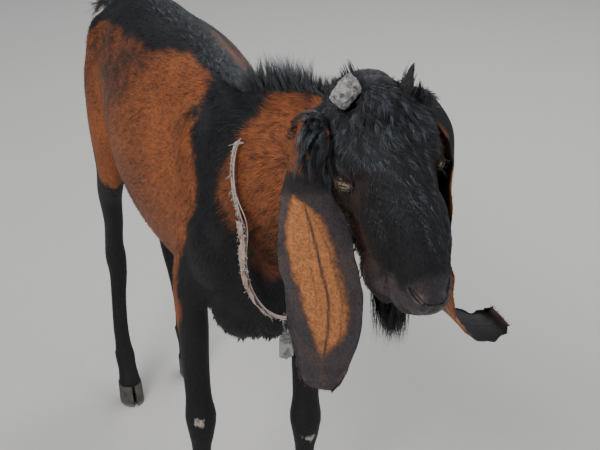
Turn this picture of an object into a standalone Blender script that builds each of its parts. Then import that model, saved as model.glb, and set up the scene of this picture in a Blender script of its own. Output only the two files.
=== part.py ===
"""A long-eared billy goat as a still, life-size model, standing with its head held forward and low.

Metres, +Z up. The goat faces -Y, its left side is +X, and the floor is Z = 0.
Stance places are measured from the point on the floor between the front hooves, and the whole model is
then shifted so that the frame's origin lies under the middle of its box.
"""

import math
import random

import bmesh
import bpy
import numpy as np
from mathutils import Euler, Matrix, Vector
from mathutils.bvhtree import BVHTree

# The gap between solids that touch.
GAP = 0.0003

# How fine the skin is, and how many faces it is brought down to.
BODY_VOXEL = 0.0055
HEAD_VOXEL = 0.0030
BODY_TRIANGLES = 4150
HEAD_TRIANGLES = 1950

# Driving heights and lengths of the body.
WITHERS_HEIGHT = 0.815
CROUP_HEIGHT = 0.830
CHEST_FLOOR = 0.462
BELLY_FLOOR = 0.452
CHEST_FRONT = -0.085
RUMP_END = 0.695
CHEST_HALF = 0.100
RIB_HALF = 0.128
RUMP_HALF = 0.088

# Driving heights of the legs, and where each leg's upper and lower lengths meet.
FRONT_LEG_SPLIT = 0.222
HIND_LEG_SPLIT = 0.236
ELBOW_HEIGHT = 0.485
KNEE_HEIGHT = 0.268
STIFLE_HEIGHT = 0.490
HOCK_HEIGHT = 0.285
FETLOCK_HEIGHT = 0.088
CORONET_HEIGHT = 0.038
HIND_FETLOCK_BACK = 0.030

# Where each foot stands: across, along.
FEET = {
    "front_right": (-0.080, 0.055),
    "front_left": (0.070, -0.010),
    "hind_right": (-0.074, 0.542),
    "hind_left": (0.064, 0.585),
}

# The head: the poll's place and the head's turn, and its own sizes.
POLL = Vector((0.050, -0.291, 0.897))
HEAD_TURN = Euler((math.radians(48.5), math.radians(-5.0), math.radians(-4.0)), "XYZ")
BROW_HALF = 0.062
EYE_PLACE = (0.0520, 0.083, -0.034)
EYEBALL_RADIUS = 0.0120
LID_RADIUS = 0.0150

# The ears. The root is where the ear's own solid starts, out from the head's middle.
EAR_ROOT = 0.060
EAR_HALF = 0.047
EAR_THICK = 0.0026

# Where the tail is parted from the rump.
TAIL_CUT = 0.710

# The locks of long hair: half width and half thickness at the widest, and how deep the root is sunk.
LOCK_WIDE = 0.0090
LOCK_THICK = 0.0024
LOCK_SINK = 0.0060
CREST_LOCK = 0.054
FORELOCK = 0.046
BEARD_TIP = Vector((0.044, -0.334, 0.600))
TAIL_LOCK = 0.069

# The collar of string and cloth, the link and the bell.
COLLAR_PLACES = 36
COLLAR_REACH = 0.150
COLLAR_SLACK = 0.072
COLLAR_WIDE = 0.0056
COLLAR_THICK = 0.0034
COLLAR_SIDES = 6
CLOTH_WIDE = 0.0085
CLOTH_THICK = 0.0022
LINK_WIDE = 0.0095
LINK_HEIGHT = 0.0150
LINK_THICK = 0.0011
LINK_PLAY = 0.0020
BELL_WALL = 0.0010

# The middle of the finished box, in stance places.
BOX_MIDDLE = (0.056, 0.198)

# Colour, roughness and metallic of each finish, and the finish of each kind of node by its name's first word.
FINISHES = {
    "brown_coat": ((0.230, 0.075, 0.026), 0.65, 0.0),
    "black_coat": ((0.012, 0.012, 0.014), 0.55, 0.0),
    "horn": ((0.200, 0.185, 0.170), 0.80, 0.0),
    "hoof": ((0.060, 0.055, 0.050), 0.60, 0.0),
    "eyeball": ((0.240, 0.130, 0.040), 0.10, 0.0),
    "string": ((0.480, 0.400, 0.380), 0.90, 0.0),
    "torn_cloth": ((0.420, 0.260, 0.200), 0.90, 0.0),
    "tin": ((0.420, 0.420, 0.400), 0.35, 1.0),
}
NODE_FINISHES = {
    "torso": "brown_coat",
    "neck": "brown_coat",
    "ear": "brown_coat",
    "head": "black_coat",
    "tail": "black_coat",
    "leg": "black_coat",
    "horn": "horn",
    "claw": "hoof",
    "eye": "eyeball",
    "collar": "string",
    "bell": "tin",
}
SHARP_ANGLE = math.radians(50)


def finished(obj):
    """The node with its own material, and with its round faces shaded smooth."""
    finish = NODE_FINISHES[obj.name.split("_")[0]]
    if obj.name == "collar_cloth":
        finish = "torn_cloth"
    colour, roughness, metallic = FINISHES[finish]
    made = bpy.data.materials.new(obj.name + "_" + finish)
    made.use_nodes = True
    shader = made.node_tree.nodes["Principled BSDF"]
    shader.inputs["Base Color"].default_value = (*colour, 1.0)
    shader.inputs["Roughness"].default_value = roughness
    shader.inputs["Metallic"].default_value = metallic
    obj.data.materials.clear()
    obj.data.materials.append(made)
    obj.data.shade_smooth()
    obj.data.set_sharp_from_angle(angle=SHARP_ANGLE)


def new_object(name, mesh):
    """A named object of a mesh, in the scene."""
    obj = bpy.data.objects.new(name, mesh)
    bpy.context.scene.collection.objects.link(obj)
    return obj


def remove(objects):
    """Takes helpers out of the scene."""
    for obj in objects:
        bpy.data.objects.remove(obj)


def applied(obj):
    """The object with its modifiers worked into its mesh."""
    graph = bpy.context.evaluated_depsgraph_get()
    mesh = bpy.data.meshes.new_from_object(obj.evaluated_get(graph))
    obj.modifiers.clear()
    obj.data = mesh
    return obj


def smooth_rows(rows, steps):
    """Rows of numbers carried through a Catmull-Rom curve, with steps rows to each span."""
    rows = np.array(rows, float)
    knots = np.vstack([2 * rows[0] - rows[1], rows, 2 * rows[-1] - rows[-2]])
    made = []
    for i in range(len(rows) - 1):
        a, b, c, d = knots[i : i + 4]
        for k in range(steps):
            t = k / steps
            made.append(
                b + 0.5 * t * (c - a + t * (2 * a - 5 * b + 4 * c - d + t * (3 * (b - c) + d - a)))
            )
    made.append(rows[-1])
    return np.array(made)


def loft(name, rows, side, steps=4, around=24, grow=0.0, bend=False):
    """A closed tube through rows of (x, y, z, half width, half depth, narrowing towards the top).

    side is the way of the width. It may change along the tube, as one vector for each row."""
    rows = np.array(rows, float)
    side = np.broadcast_to(np.array(side, float), (len(rows), 3))
    table = smooth_rows(np.hstack([rows, side]), steps)
    centres = table[:, :3]
    along = np.gradient(centres, axis=0)
    along /= np.linalg.norm(along, axis=1)[:, None]
    deep = np.cross(table[:, 6:9], along)
    deep /= np.linalg.norm(deep, axis=1)[:, None]
    wide = np.cross(along, deep)
    angles = np.linspace(0, 2 * math.pi, around, endpoint=False)
    shape = bmesh.new()
    rings = []
    for i, row in enumerate(table):
        ring = []
        for angle in angles:
            narrowing, bending = (0.0, row[5]) if bend else (row[5], 0.0)
            across = (row[3] + grow) * math.cos(angle) * (1 - narrowing * math.sin(angle))
            up = (row[4] + grow) * math.sin(angle) + bending * math.cos(angle) ** 2
            ring.append(shape.verts.new(centres[i] + wide[i] * across + deep[i] * up))
        rings.append(ring)
    for low, high in zip(rings, rings[1:]):
        for k in range(around):
            n = (k + 1) % around
            shape.faces.new((low[k], low[n], high[n], high[k]))
    shape.faces.new(rings[0][::-1])
    shape.faces.new(rings[-1])
    bmesh.ops.recalc_face_normals(shape, faces=shape.faces)
    mesh = bpy.data.meshes.new(name)
    shape.to_mesh(mesh)
    shape.free()
    return new_object(name, mesh)


def ball(name, centre, radii, turn=Matrix.Identity(3), rings=14):
    """An ellipsoid, such as a muscle or a knob of bone."""
    shape = bmesh.new()
    bmesh.ops.create_uvsphere(shape, u_segments=2 * rings, v_segments=rings, radius=1)
    place = Matrix.Translation(centre) @ turn.to_4x4() @ Matrix.Diagonal((*radii, 1))
    bmesh.ops.transform(shape, matrix=place, verts=shape.verts)
    mesh = bpy.data.meshes.new(name)
    shape.to_mesh(mesh)
    shape.free()
    return new_object(name, mesh)


def block(name, low, high, place=Matrix.Identity(4)):
    """A box between two corners, used to part the body."""
    shape = bmesh.new()
    bmesh.ops.create_cube(shape, size=1)
    low, high = Vector(low), Vector(high)
    size = Matrix.Translation((low + high) / 2) @ Matrix.Diagonal((*(high - low), 1))
    bmesh.ops.transform(shape, matrix=place @ size, verts=shape.verts)
    mesh = bpy.data.meshes.new(name)
    shape.to_mesh(mesh)
    shape.free()
    return new_object(name, mesh)


def joined(name, pieces):
    """One object that holds the meshes of all the pieces, which are then removed."""
    shape = bmesh.new()
    for piece in pieces:
        shape.from_mesh(piece.data)
    mesh = bpy.data.meshes.new(name)
    shape.to_mesh(mesh)
    shape.free()
    remove(pieces)
    return new_object(name, mesh)


def fused(name, pieces, voxel):
    """The pieces melted into one closed skin."""
    obj = joined(name, pieces)
    melt = obj.modifiers.new("Melt", "REMESH")
    melt.mode = "VOXEL"
    melt.voxel_size = voxel
    return applied(obj)


def softened(obj, passes, weight=None):
    """The object with its bumps evened out, by a weight from 0 to 1 for each point."""
    group = obj.vertex_groups.new(name="soften")
    for point in obj.data.vertices:
        group.add([point.index], 1.0 if weight is None else weight(point.co), "REPLACE")
    even = obj.modifiers.new("Even", "SMOOTH")
    even.factor = 0.5
    even.iterations = passes
    even.vertex_group = group.name
    applied(obj)
    obj.vertex_groups.clear()
    return obj


def thinned(obj, triangles):
    """The object with its faces brought down to about that many triangles."""
    obj.data.calc_loop_triangles()
    now = len(obj.data.loop_triangles)
    fewer = obj.modifiers.new("Fewer", "DECIMATE")
    fewer.ratio = min(1.0, triangles / now)
    fewer.use_collapse_triangulate = True
    return applied(obj)


def cut(obj, other, operation="DIFFERENCE", keep=False):
    """The object less the other, or what they share, with the largest body kept."""
    knife = obj.modifiers.new("Cut", "BOOLEAN")
    knife.operation = operation
    knife.object = other
    knife.solver = "MANIFOLD"
    applied(obj)
    if not keep:
        remove([other])
    return largest_body(obj)


def largest_body(obj):
    """The object with all but its largest closed surface dropped."""
    shape = bmesh.new()
    shape.from_mesh(obj.data)
    left = set(shape.verts)
    bodies = []
    while left:
        body, edge = set(), [left.pop()]
        while edge:
            point = edge.pop()
            body.add(point)
            for line in point.link_edges:
                other = line.other_vert(point)
                if other in left:
                    left.remove(other)
                    edge.append(other)
        bodies.append(body)
    bodies.sort(key=len, reverse=True)
    for body in bodies[1:]:
        for point in body:
            shape.verts.remove(point)
    shape.to_mesh(obj.data)
    shape.free()
    return obj


def copy_of(obj, name):
    """A second object with its own copy of the mesh."""
    return new_object(name, obj.data.copy())


def head_matrix():
    """From the head's own places (left, towards the neck, up off the nose) to the stance."""
    return Matrix.Translation(POLL) @ HEAD_TURN.to_matrix().to_4x4()


def head_point(across, along, up):
    """A place on the head: across to its left, along from the poll to the lips, up off the nose line."""
    return head_matrix() @ Vector((across, -along, up))


def head_way(across, along, up):
    """A direction on the head, in the stance."""
    return head_matrix().to_3x3() @ Vector((across, -along, up))


def trunk_pieces():
    """Chest, ribs, loin and rump as one tube, with the masses that stand out on it."""
    rows = []
    stations = (
        # across, along, top, bottom, half width, narrowing
        (0.000, CHEST_FRONT, 0.665, 0.525, 0.040, 0.05),
        (0.000, CHEST_FRONT + 0.030, 0.720, CHEST_FLOOR + 0.010, 0.070, 0.06),
        (0.000, 0.000, WITHERS_HEIGHT - 0.040, CHEST_FLOOR - 0.008, CHEST_HALF - 0.012, 0.10),
        (0.002, 0.070, WITHERS_HEIGHT - 0.005, CHEST_FLOOR - 0.006, CHEST_HALF, 0.14),
        (0.005, 0.150, WITHERS_HEIGHT, CHEST_FLOOR - 0.004, RIB_HALF - 0.012, 0.12),
        (0.009, 0.250, WITHERS_HEIGHT + 0.002, BELLY_FLOOR, RIB_HALF, 0.06),
        (0.012, 0.350, CROUP_HEIGHT - 0.006, BELLY_FLOOR + 0.006, RIB_HALF + 0.001, 0.02),
        (0.011, 0.430, CROUP_HEIGHT, BELLY_FLOOR + 0.038, RIB_HALF - 0.012, 0.03),
        (0.007, 0.510, CROUP_HEIGHT, BELLY_FLOOR + 0.090, RUMP_HALF + 0.010, 0.08),
        (0.003, 0.580, CROUP_HEIGHT - 0.014, BELLY_FLOOR + 0.120, RUMP_HALF - 0.004, 0.12),
        (0.000, 0.640, CROUP_HEIGHT - 0.046, BELLY_FLOOR + 0.150, RUMP_HALF - 0.018, 0.14),
        (0.000, RUMP_END, CROUP_HEIGHT - 0.090, BELLY_FLOOR + 0.190, 0.040, 0.10),
    )
    for across, along, top, bottom, half, narrowing in stations:
        middle, deep = (top + bottom) / 2, (top - bottom) / 2
        rows.append((across, along, middle, half, deep, narrowing))
    pieces = [loft("trunk", rows, (1, 0, 0), around=36)]
    for side in (-1, 1):
        pieces += [
            ball("blade", (side * 0.054, 0.066, 0.665), (0.038, 0.080, 0.120)),
            ball("shoulder", (side * 0.064, -0.010, 0.590), (0.038, 0.060, 0.070)),
            ball("hip", (side * 0.058 + 0.006, 0.475, 0.758), (0.028, 0.046, 0.028)),
            ball("rump", (side * 0.048, 0.575, 0.700), (0.044, 0.085, 0.080)),
            ball("pin", (side * 0.034, 0.655, 0.705), (0.020, 0.026, 0.028)),
        ]
    pieces.append(ball("breast", (0.0, -0.052, 0.535), (0.050, 0.056, 0.080)))
    for side in (-1, 1):
        pieces.append(ball("testis", (side * 0.013, 0.588, 0.492), (0.017, 0.019, 0.032)))
    pouch = ((0.0, 0.588, 0.500), (0.0, 0.580, 0.545), (0.0, 0.570, 0.600))
    pieces.append(loft("pouch", [(*place, 0.020, 0.016, 0.0) for place in pouch], (1, 0, 0), around=14))
    sheath = ((0.006, 0.300, 0.452), (0.007, 0.345, 0.446), (0.008, 0.420, 0.462), (0.006, 0.500, 0.520))
    pieces.append(loft("sheath", [(*place, 0.013, 0.014, 0.0) for place in sheath], (1, 0, 0), around=12))
    return pieces


def neck_rows():
    """The neck's tube, from inside the chest to the back of the head."""
    nape = head_point(0, 0.010, -0.062)
    throat = head_point(0, 0.030, -0.068)
    return [
        (0.000, 0.110, 0.660, 0.062, 0.125, 0.20),
        (0.002, 0.020, 0.672, 0.070, 0.125, 0.22),
        (0.008, -0.070, 0.700, 0.064, 0.112, 0.24),
        (0.018, -0.150, 0.745, 0.054, 0.092, 0.22),
        (0.030, -0.220, 0.795, 0.049, 0.074, 0.16),
        (*nape, 0.047, 0.062, 0.06),
        (*throat, 0.045, 0.050, 0.0),
    ]


def neck_pieces():
    """The neck and the windpipe's ridge under it."""
    return [loft("neck", neck_rows(), (1, 0, 0), around=28)]


def front_leg_pieces(foot):
    """One front leg from the shoulder to the coronet."""
    across, along = FEET[foot]
    side = math.copysign(1, across)
    elbow = side * 0.082
    rows = (
        # across, along, height, half width, half depth
        (side * 0.066, 0.040, 0.590, 0.036, 0.062),
        (side * 0.074, 0.052, 0.530, 0.034, 0.056),
        (elbow, 0.6 * along + 0.026, ELBOW_HEIGHT, 0.0285, 0.043),
        (elbow, 0.75 * along + 0.014, 0.430, 0.0245, 0.0320),
        (0.4 * elbow + 0.6 * across, along + 0.004, 0.365, 0.0225, 0.0260),
        (0.2 * elbow + 0.8 * across, along, KNEE_HEIGHT + 0.040, 0.0220, 0.0230),
        (across, along - 0.004, KNEE_HEIGHT + 0.006, 0.0260, 0.0275),
        (across, along - 0.002, KNEE_HEIGHT - 0.028, 0.0215, 0.0235),
        (across, along + 0.002, KNEE_HEIGHT - 0.060, 0.0165, 0.0190),
        (across, along + 0.004, 0.150, 0.0160, 0.0185),
        (across, along + 0.004, FETLOCK_HEIGHT + 0.022, 0.0170, 0.0190),
        (across, along + 0.002, FETLOCK_HEIGHT, 0.0210, 0.0215),
        (across, along - 0.008, 0.064, 0.0200, 0.0195),
        (across, along - 0.016, CORONET_HEIGHT, 0.0225, 0.0235),
        (across, along - 0.020, CORONET_HEIGHT - 0.020, 0.0225, 0.0240),
    )
    leg = loft("leg", [(*row, 0.0) for row in rows], (-1, 0, 0), around=20)
    back_of_knee = ball("pisiform", (across, along + 0.018, KNEE_HEIGHT + 0.016), (0.011, 0.012, 0.018))
    return [leg, back_of_knee, *dewclaws(across, along + 0.020, FETLOCK_HEIGHT - 0.006)]


def hind_leg_pieces(foot):
    """One hind leg from the hip to the coronet."""
    across, along = FEET[foot]
    side = math.copysign(1, across)
    fetlock = along + HIND_FETLOCK_BACK
    hock = along + 0.076
    hock_across = 0.87 * across
    rows = (
        # across, along, height, half width, half depth
        (side * 0.046, 0.575, 0.720, 0.040, 0.080),
        (side * 0.058, 0.580, 0.660, 0.040, 0.086),
        (side * 0.066, 0.575, 0.600, 0.037, 0.080),
        (side * 0.071, 0.560, 0.550, 0.033, 0.068),
        (side * 0.072, 0.560 + 0.3 * (along - 0.54), STIFLE_HEIGHT, 0.028, 0.050),
        (side * 0.070, 0.590 + 0.5 * (along - 0.54), 0.430, 0.0235, 0.035),
        (hock_across, hock - 0.012, 0.365, 0.0195, 0.027),
        (hock_across, hock - 0.002, HOCK_HEIGHT + 0.034, 0.0180, 0.030),
        (hock_across, hock - 0.004, HOCK_HEIGHT, 0.0210, 0.029),
        (hock_across, hock - 0.012, HOCK_HEIGHT - 0.035, 0.0185, 0.0220),
        (0.5 * (hock_across + across), hock - 0.020, 0.205, 0.0160, 0.0180),
        (across, fetlock + 0.012, 0.150, 0.0160, 0.0180),
        (across, fetlock + 0.004, FETLOCK_HEIGHT + 0.022, 0.0170, 0.0185),
        (across, fetlock - 0.002, FETLOCK_HEIGHT, 0.0205, 0.0210),
        (across, fetlock - 0.014, 0.064, 0.0195, 0.0190),
        (across, fetlock - 0.024, CORONET_HEIGHT, 0.0225, 0.0235),
        (across, fetlock - 0.028, CORONET_HEIGHT - 0.020, 0.0225, 0.0240),
    )
    leg = loft("leg", [(*row, 0.0) for row in rows], (-1, 0, 0), around=20)
    heel = ball("heel", (hock_across, hock + 0.020, HOCK_HEIGHT + 0.030), (0.012, 0.013, 0.022))
    cord = loft(
        "hamstring",
        [
            (hock_across, hock + 0.022, HOCK_HEIGHT + 0.030, 0.007, 0.007, 0),
            (side * 0.070, hock + 0.020, 0.380, 0.007, 0.007, 0),
            (side * 0.071, 0.634, 0.450, 0.014, 0.014, 0),
        ],
        (1, 0, 0),
        around=12,
    )
    return [leg, heel, cord, *dewclaws(across, fetlock + 0.017, FETLOCK_HEIGHT - 0.006)]


def dewclaws(across, along, height):
    """The pair of small claws behind a fetlock."""
    return [
        ball("dewclaw", (across + side * 0.011, along, height), (0.0065, 0.009, 0.010))
        for side in (-1, 1)
    ]


def head_pieces():
    """Skull, jaw and muzzle as one tube, with the brows, cheeks and lips that stand out on it."""
    stations = (
        # along, top, bottom, half width, narrowing
        (-0.040, -0.034, -0.096, 0.034, 0.0),
        (-0.025, -0.012, -0.112, 0.046, 0.0),
        (0.005, 0.003, -0.124, 0.052, 0.04),
        (0.040, 0.011, -0.128, BROW_HALF - 0.002, 0.04),
        (0.075, 0.015, -0.124, BROW_HALF - 0.003, 0.02),
        (0.110, 0.017, -0.110, 0.050, 0.06),
        (0.145, 0.014, -0.096, 0.0425, 0.10),
        (0.180, 0.005, -0.088, 0.0370, 0.10),
        (0.210, -0.008, -0.083, 0.0345, 0.08),
        (0.234, -0.022, -0.080, 0.0295, 0.06),
        (0.250, -0.038, -0.074, 0.0200, 0.0),
    )
    rows = []
    for along, top, bottom, half, narrowing in stations:
        place = head_point(0, along, (top + bottom) / 2)
        rows.append((*place, half, (top - bottom) / 2, narrowing))
    turn = head_matrix().to_3x3()
    pieces = [loft("skull", rows, head_way(1, 0, 0), around=32)]

    def mass(across, along, up, radii, both=True):
        for side in (-1, 1) if both else (1,):
            pieces.append(ball("mass", head_point(side * across, along, up), radii, turn))

    mass(0.036, 0.050, -0.012, (0.026, 0.042, 0.014))
    mass(0.040, 0.100, -0.052, (0.013, 0.040, 0.014))
    mass(0.036, 0.050, -0.088, (0.021, 0.046, 0.034))
    mass(0.0175, 0.225, -0.048, (0.0170, 0.026, 0.023))
    mass(0.0, 0.238, -0.032, (0.021, 0.018, 0.018), both=False)
    mass(0.0, 0.212, -0.082, (0.021, 0.026, 0.014), both=False)
    mass(0.0, 0.010, -0.004, (0.040, 0.036, 0.020), both=False)
    x, along, up = EYE_PLACE
    mass(x, along, up, (LID_RADIUS, LID_RADIUS, LID_RADIUS))
    for side in (-1, 1):
        pieces.append(
            loft(
                "ear_bed",
                [
                    (*head_point(side * 0.030, 0.002, -0.040), 0.026, 0.022, 0),
                    (*head_point(side * 0.052, 0.004, -0.044), 0.023, 0.019, 0),
                    (*head_point(side * 0.064, 0.006, -0.050), 0.020, 0.016, 0),
                ],
                head_way(0, 1, 0),
                around=16,
            )
        )
    return pieces


def ear_rows(side):
    """The ear's middle line from inside the head to the tip: place, half width, half thickness, bend, chord."""
    if side < 0:
        free = (
            # across, along, height, half width, half thickness, bend of the edges, chord
            (-0.032, -0.287, 0.874, 0.0220, 0.0075, 0.012, (0.30, -0.95, 0)),
            (-0.043, -0.296, 0.848, 0.0240, 0.0050, 0.015, (0.55, -0.83, 0)),
            (-0.047, -0.301, 0.814, 0.0260, 0.0036, 0.014, (0.70, -0.71, 0)),
            (-0.046, -0.303, 0.785, 0.0330, EAR_THICK, 0.013, (0.75, -0.66, 0)),
            (-0.041, -0.303, 0.745, 0.0430, EAR_THICK, 0.012, (0.75, -0.66, 0)),
            (-0.036, -0.303, 0.700, EAR_HALF, EAR_THICK, 0.010, (0.75, -0.66, 0)),
            (-0.029, -0.303, 0.655, EAR_HALF, EAR_THICK, 0.008, (0.75, -0.66, 0)),
            (-0.025, -0.302, 0.612, 0.0450, EAR_THICK, 0.006, (0.77, -0.64, 0)),
            (-0.024, -0.300, 0.572, 0.0380, EAR_THICK, 0.005, (0.80, -0.60, 0)),
            (-0.025, -0.298, 0.542, 0.0260, EAR_THICK, 0.003, (0.80, -0.60, 0)),
            (-0.026, -0.297, 0.524, 0.0090, EAR_THICK, 0.001, (0.80, -0.60, 0)),
        )
    else:
        free = (
            (0.129, -0.286, 0.877, 0.0220, 0.0075, 0.012, (0.10, 0.99, 0)),
            (0.137, -0.294, 0.850, 0.0240, 0.0050, 0.014, (0.00, 1.00, 0)),
            (0.136, -0.302, 0.815, 0.0260, 0.0036, 0.013, (-0.05, 1.00, 0)),
            (0.130, -0.310, 0.780, 0.0340, EAR_THICK, 0.012, (-0.10, 0.99, 0)),
            (0.124, -0.316, 0.735, 0.0440, EAR_THICK, 0.010, (-0.10, 0.99, 0)),
            (0.120, -0.318, 0.690, EAR_HALF, EAR_THICK, 0.008, (-0.10, 0.99, 0)),
            (0.122, -0.318, 0.650, EAR_HALF, EAR_THICK, 0.006, (-0.10, 0.99, 0)),
            (0.135, -0.316, 0.612, 0.0460, EAR_THICK, 0.005, (-0.10, 0.99, 0)),
            (0.158, -0.313, 0.584, 0.0410, EAR_THICK, 0.004, (-0.10, 0.99, 0)),
            (0.189, -0.310, 0.567, 0.0330, EAR_THICK, 0.003, (-0.10, 0.99, 0)),
            (0.215, -0.309, 0.561, 0.0230, EAR_THICK, 0.002, (-0.10, 0.99, 0)),
            (0.230, -0.308, 0.566, 0.0090, EAR_THICK, 0.001, (-0.10, 0.99, 0)),
        )
    turn = -side
    rows = [
        (*head_point(side * 0.046, 0.002, -0.044), 0.0170, 0.0150, 0.0),
        (*head_point(side * 0.064, 0.004, -0.038), 0.0190, 0.0120, 0.003),
    ]
    chords = [(0.10, -0.99 * turn, 0), (0.20, -0.98 * turn, 0)]
    return rows + [row[:6] for row in free], chords + [row[6] for row in free]


def ear(side):
    """One long ear: a rolled tube where it leaves the head, then a broad bent leaf."""
    rows, chords = ear_rows(side)
    name = "ear_right" if side < 0 else "ear_left"
    made = leaf(name, rows, chords, steps=2, around=12)
    near, far = sorted((side * (EAR_ROOT + GAP), 0.0))
    return cut(made, block("skull_side", (near, -0.060, -0.100), (far, 0.060, 0.020), head_matrix()))


def horn_rows(side):
    """A crusty horn stub, from inside the skull to its blunt tip."""
    size = 1.0 if side < 0 else 0.85
    out = 0.0 if side < 0 else 0.006
    stations = (
        (0.022, 0.004, -0.022, 0.0140),
        (0.029, -0.002, -0.006, 0.0165),
        (0.033, -0.007, 0.006, 0.0155),
        (0.035, -0.014, 0.015, 0.0130),
        (0.036, -0.019, 0.021, 0.0100),
        (0.035, -0.021, 0.024, 0.0050),
    )
    rows = []
    for across, along, up, radius in stations:
        place = head_point(side * (across + out), along, up)
        rows.append((*place, size * radius, size * 1.12 * radius, 0.0))
    return rows


def leaf(name, rows, sides, steps=4, around=16):
    """A loft whose sixth number bends both edges of the section towards its depth way."""
    return loft(name, rows, sides, steps, around, bend=True)


def trimmed(obj, place, way):
    """The part of the object on the far side of a plane, closed there."""
    shape = bmesh.new()
    shape.from_mesh(obj.data)
    flat = bmesh.ops.bisect_plane(
        shape,
        geom=shape.verts[:] + shape.edges[:] + shape.faces[:],
        plane_co=place,
        plane_no=way,
        clear_inner=True,
        dist=1e-6,
    )
    rim = [part for part in flat["geom_cut"] if isinstance(part, bmesh.types.BMEdge)]
    bmesh.ops.holes_fill(shape, edges=rim, sides=0)
    bmesh.ops.recalc_face_normals(shape, faces=shape.faces)
    shape.to_mesh(obj.data)
    shape.free()
    return obj


def trunk_weight(point):
    """How far the evening-out goes: all over the trunk, little on the legs and head."""
    on_trunk = min(1.0, max(0.0, (point.z - 0.44) / 0.10))
    off_head = min(1.0, max(0.0, (point.y + 0.26) / 0.10))
    return 0.10 + 0.90 * on_trunk * off_head


def tail_piece():
    """The short tail's dock, held out behind, without its long hair."""
    rows = (
        (0.0, RUMP_END - 0.050, CROUP_HEIGHT - 0.085, 0.024, 0.018, 0),
        (0.0, RUMP_END + 0.010, CROUP_HEIGHT - 0.078, 0.021, 0.015, 0),
        (0.0, RUMP_END + 0.050, CROUP_HEIGHT - 0.078, 0.019, 0.012, 0),
        (0.0, RUMP_END + 0.085, CROUP_HEIGHT - 0.088, 0.015, 0.010, 0),
        (0.0, RUMP_END + 0.108, CROUP_HEIGHT - 0.104, 0.006, 0.005, 0),
    )
    return loft("tail", rows, (1, 0, 0), around=16)


def beard_piece():
    """The close hair at the beard's root, which its locks grow from."""
    rows = (
        (0.054, -0.330, 0.735, 0.023, 0.017, 0),
        (0.050, -0.334, 0.705, 0.022, 0.014, 0),
        (0.047, -0.336, 0.682, 0.015, 0.010, 0),
        (0.046, -0.336, 0.670, 0.005, 0.004, 0),
    )
    return loft("beard", rows, (0.93, -0.38, 0), around=14)


def crest_piece():
    """The close hair along the neck's top, which the crest's locks grow from."""
    rows = (
        (0.004, 0.150, 0.794, 0.014, 0.016, 0),
        (0.004, 0.080, 0.800, 0.018, 0.020, 0),
        (0.006, 0.010, 0.804, 0.020, 0.026, 0),
        (0.010, -0.060, 0.814, 0.020, 0.030, 0),
        (0.018, -0.120, 0.830, 0.019, 0.031, 0),
        (0.026, -0.180, 0.848, 0.016, 0.028, 0),
        (0.033, -0.225, 0.866, 0.011, 0.018, 0),
    )
    return loft("crest", rows, (1, 0, 0), around=14)


def hooves(foot):
    """The two claws of one foot, flat underneath."""
    across, along = FEET[foot]
    if foot.startswith("hind"):
        along += HIND_FETLOCK_BACK - 0.008
    rows = (
        (across, along - 0.011, CORONET_HEIGHT + 0.015, 0.0215, 0.0225, 0),
        (across, along - 0.016, CORONET_HEIGHT - 0.004, 0.0225, 0.0242, 0),
        (across, along - 0.021, 0.016, 0.0230, 0.0275, 0),
        (across, along - 0.026, -0.012, 0.0235, 0.0310, 0),
    )
    whole = loft("hoof", rows, (-1, 0, 0), steps=1, around=20)
    trimmed(whole, (0, 0, CORONET_HEIGHT - GAP), (0, 0, -1))
    trimmed(whole, (0, 0, 0), (0, 0, 1))
    claws = []
    for side, word in ((-1, "right"), (1, "left")):
        name = "claw_" + foot + "_" + word
        claw = copy_of(whole, name)
        way = Vector((side, 0.05, 0)).normalized()
        trimmed(claw, (across + side * 0.0022, along - 0.02, 0), way)
        claws.append(claw)
    remove([whole])
    return claws


def prism(name, outline, low, high, side):
    """A solid of one outline across and up, carried along the body; side -1 mirrors it."""
    shape = bmesh.new()
    rings = [
        [shape.verts.new((side * x, along, z)) for x, z in outline] for along in (low, high)
    ]
    count = len(outline)
    for k in range(count):
        n = (k + 1) % count
        shape.faces.new((rings[0][k], rings[0][n], rings[1][n], rings[1][k]))
    shape.faces.new(rings[0][::-1])
    shape.faces.new(rings[1])
    bmesh.ops.recalc_face_normals(shape, faces=shape.faces)
    mesh = bpy.data.meshes.new(name)
    shape.to_mesh(mesh)
    shape.free()
    return new_object(name, mesh)


def leg_region(foot, inset):
    """The space below and outside the cut that parts a leg from the trunk, drawn in by the inset."""
    side = math.copysign(1, FEET[foot][0])
    if foot.startswith("front"):
        inner, low, high, start, end = 0.022, 0.435, 0.548, -0.130, 0.125
    else:
        inner, low, high, start, end = 0.034, 0.575, 0.675, 0.470, 0.700
    outline = (
        (inner + inset, -0.02),
        (inner + inset, low - inset),
        (0.150, high - inset),
        (0.150, -0.02),
    )
    return prism("region", outline, start + inset, end - inset, side)


def head_cut():
    """A place on the plane that parts the head from the neck, and the way towards the head."""
    return head_point(0, -0.050, -0.040), head_way(0, 0.674, 0.739)


def neck_cut():
    """The same for the plane at the neck's root, and the way towards the neck."""
    return Vector((0, 0.020, 0.830)), Vector((0, -0.894, 0.447))


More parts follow.
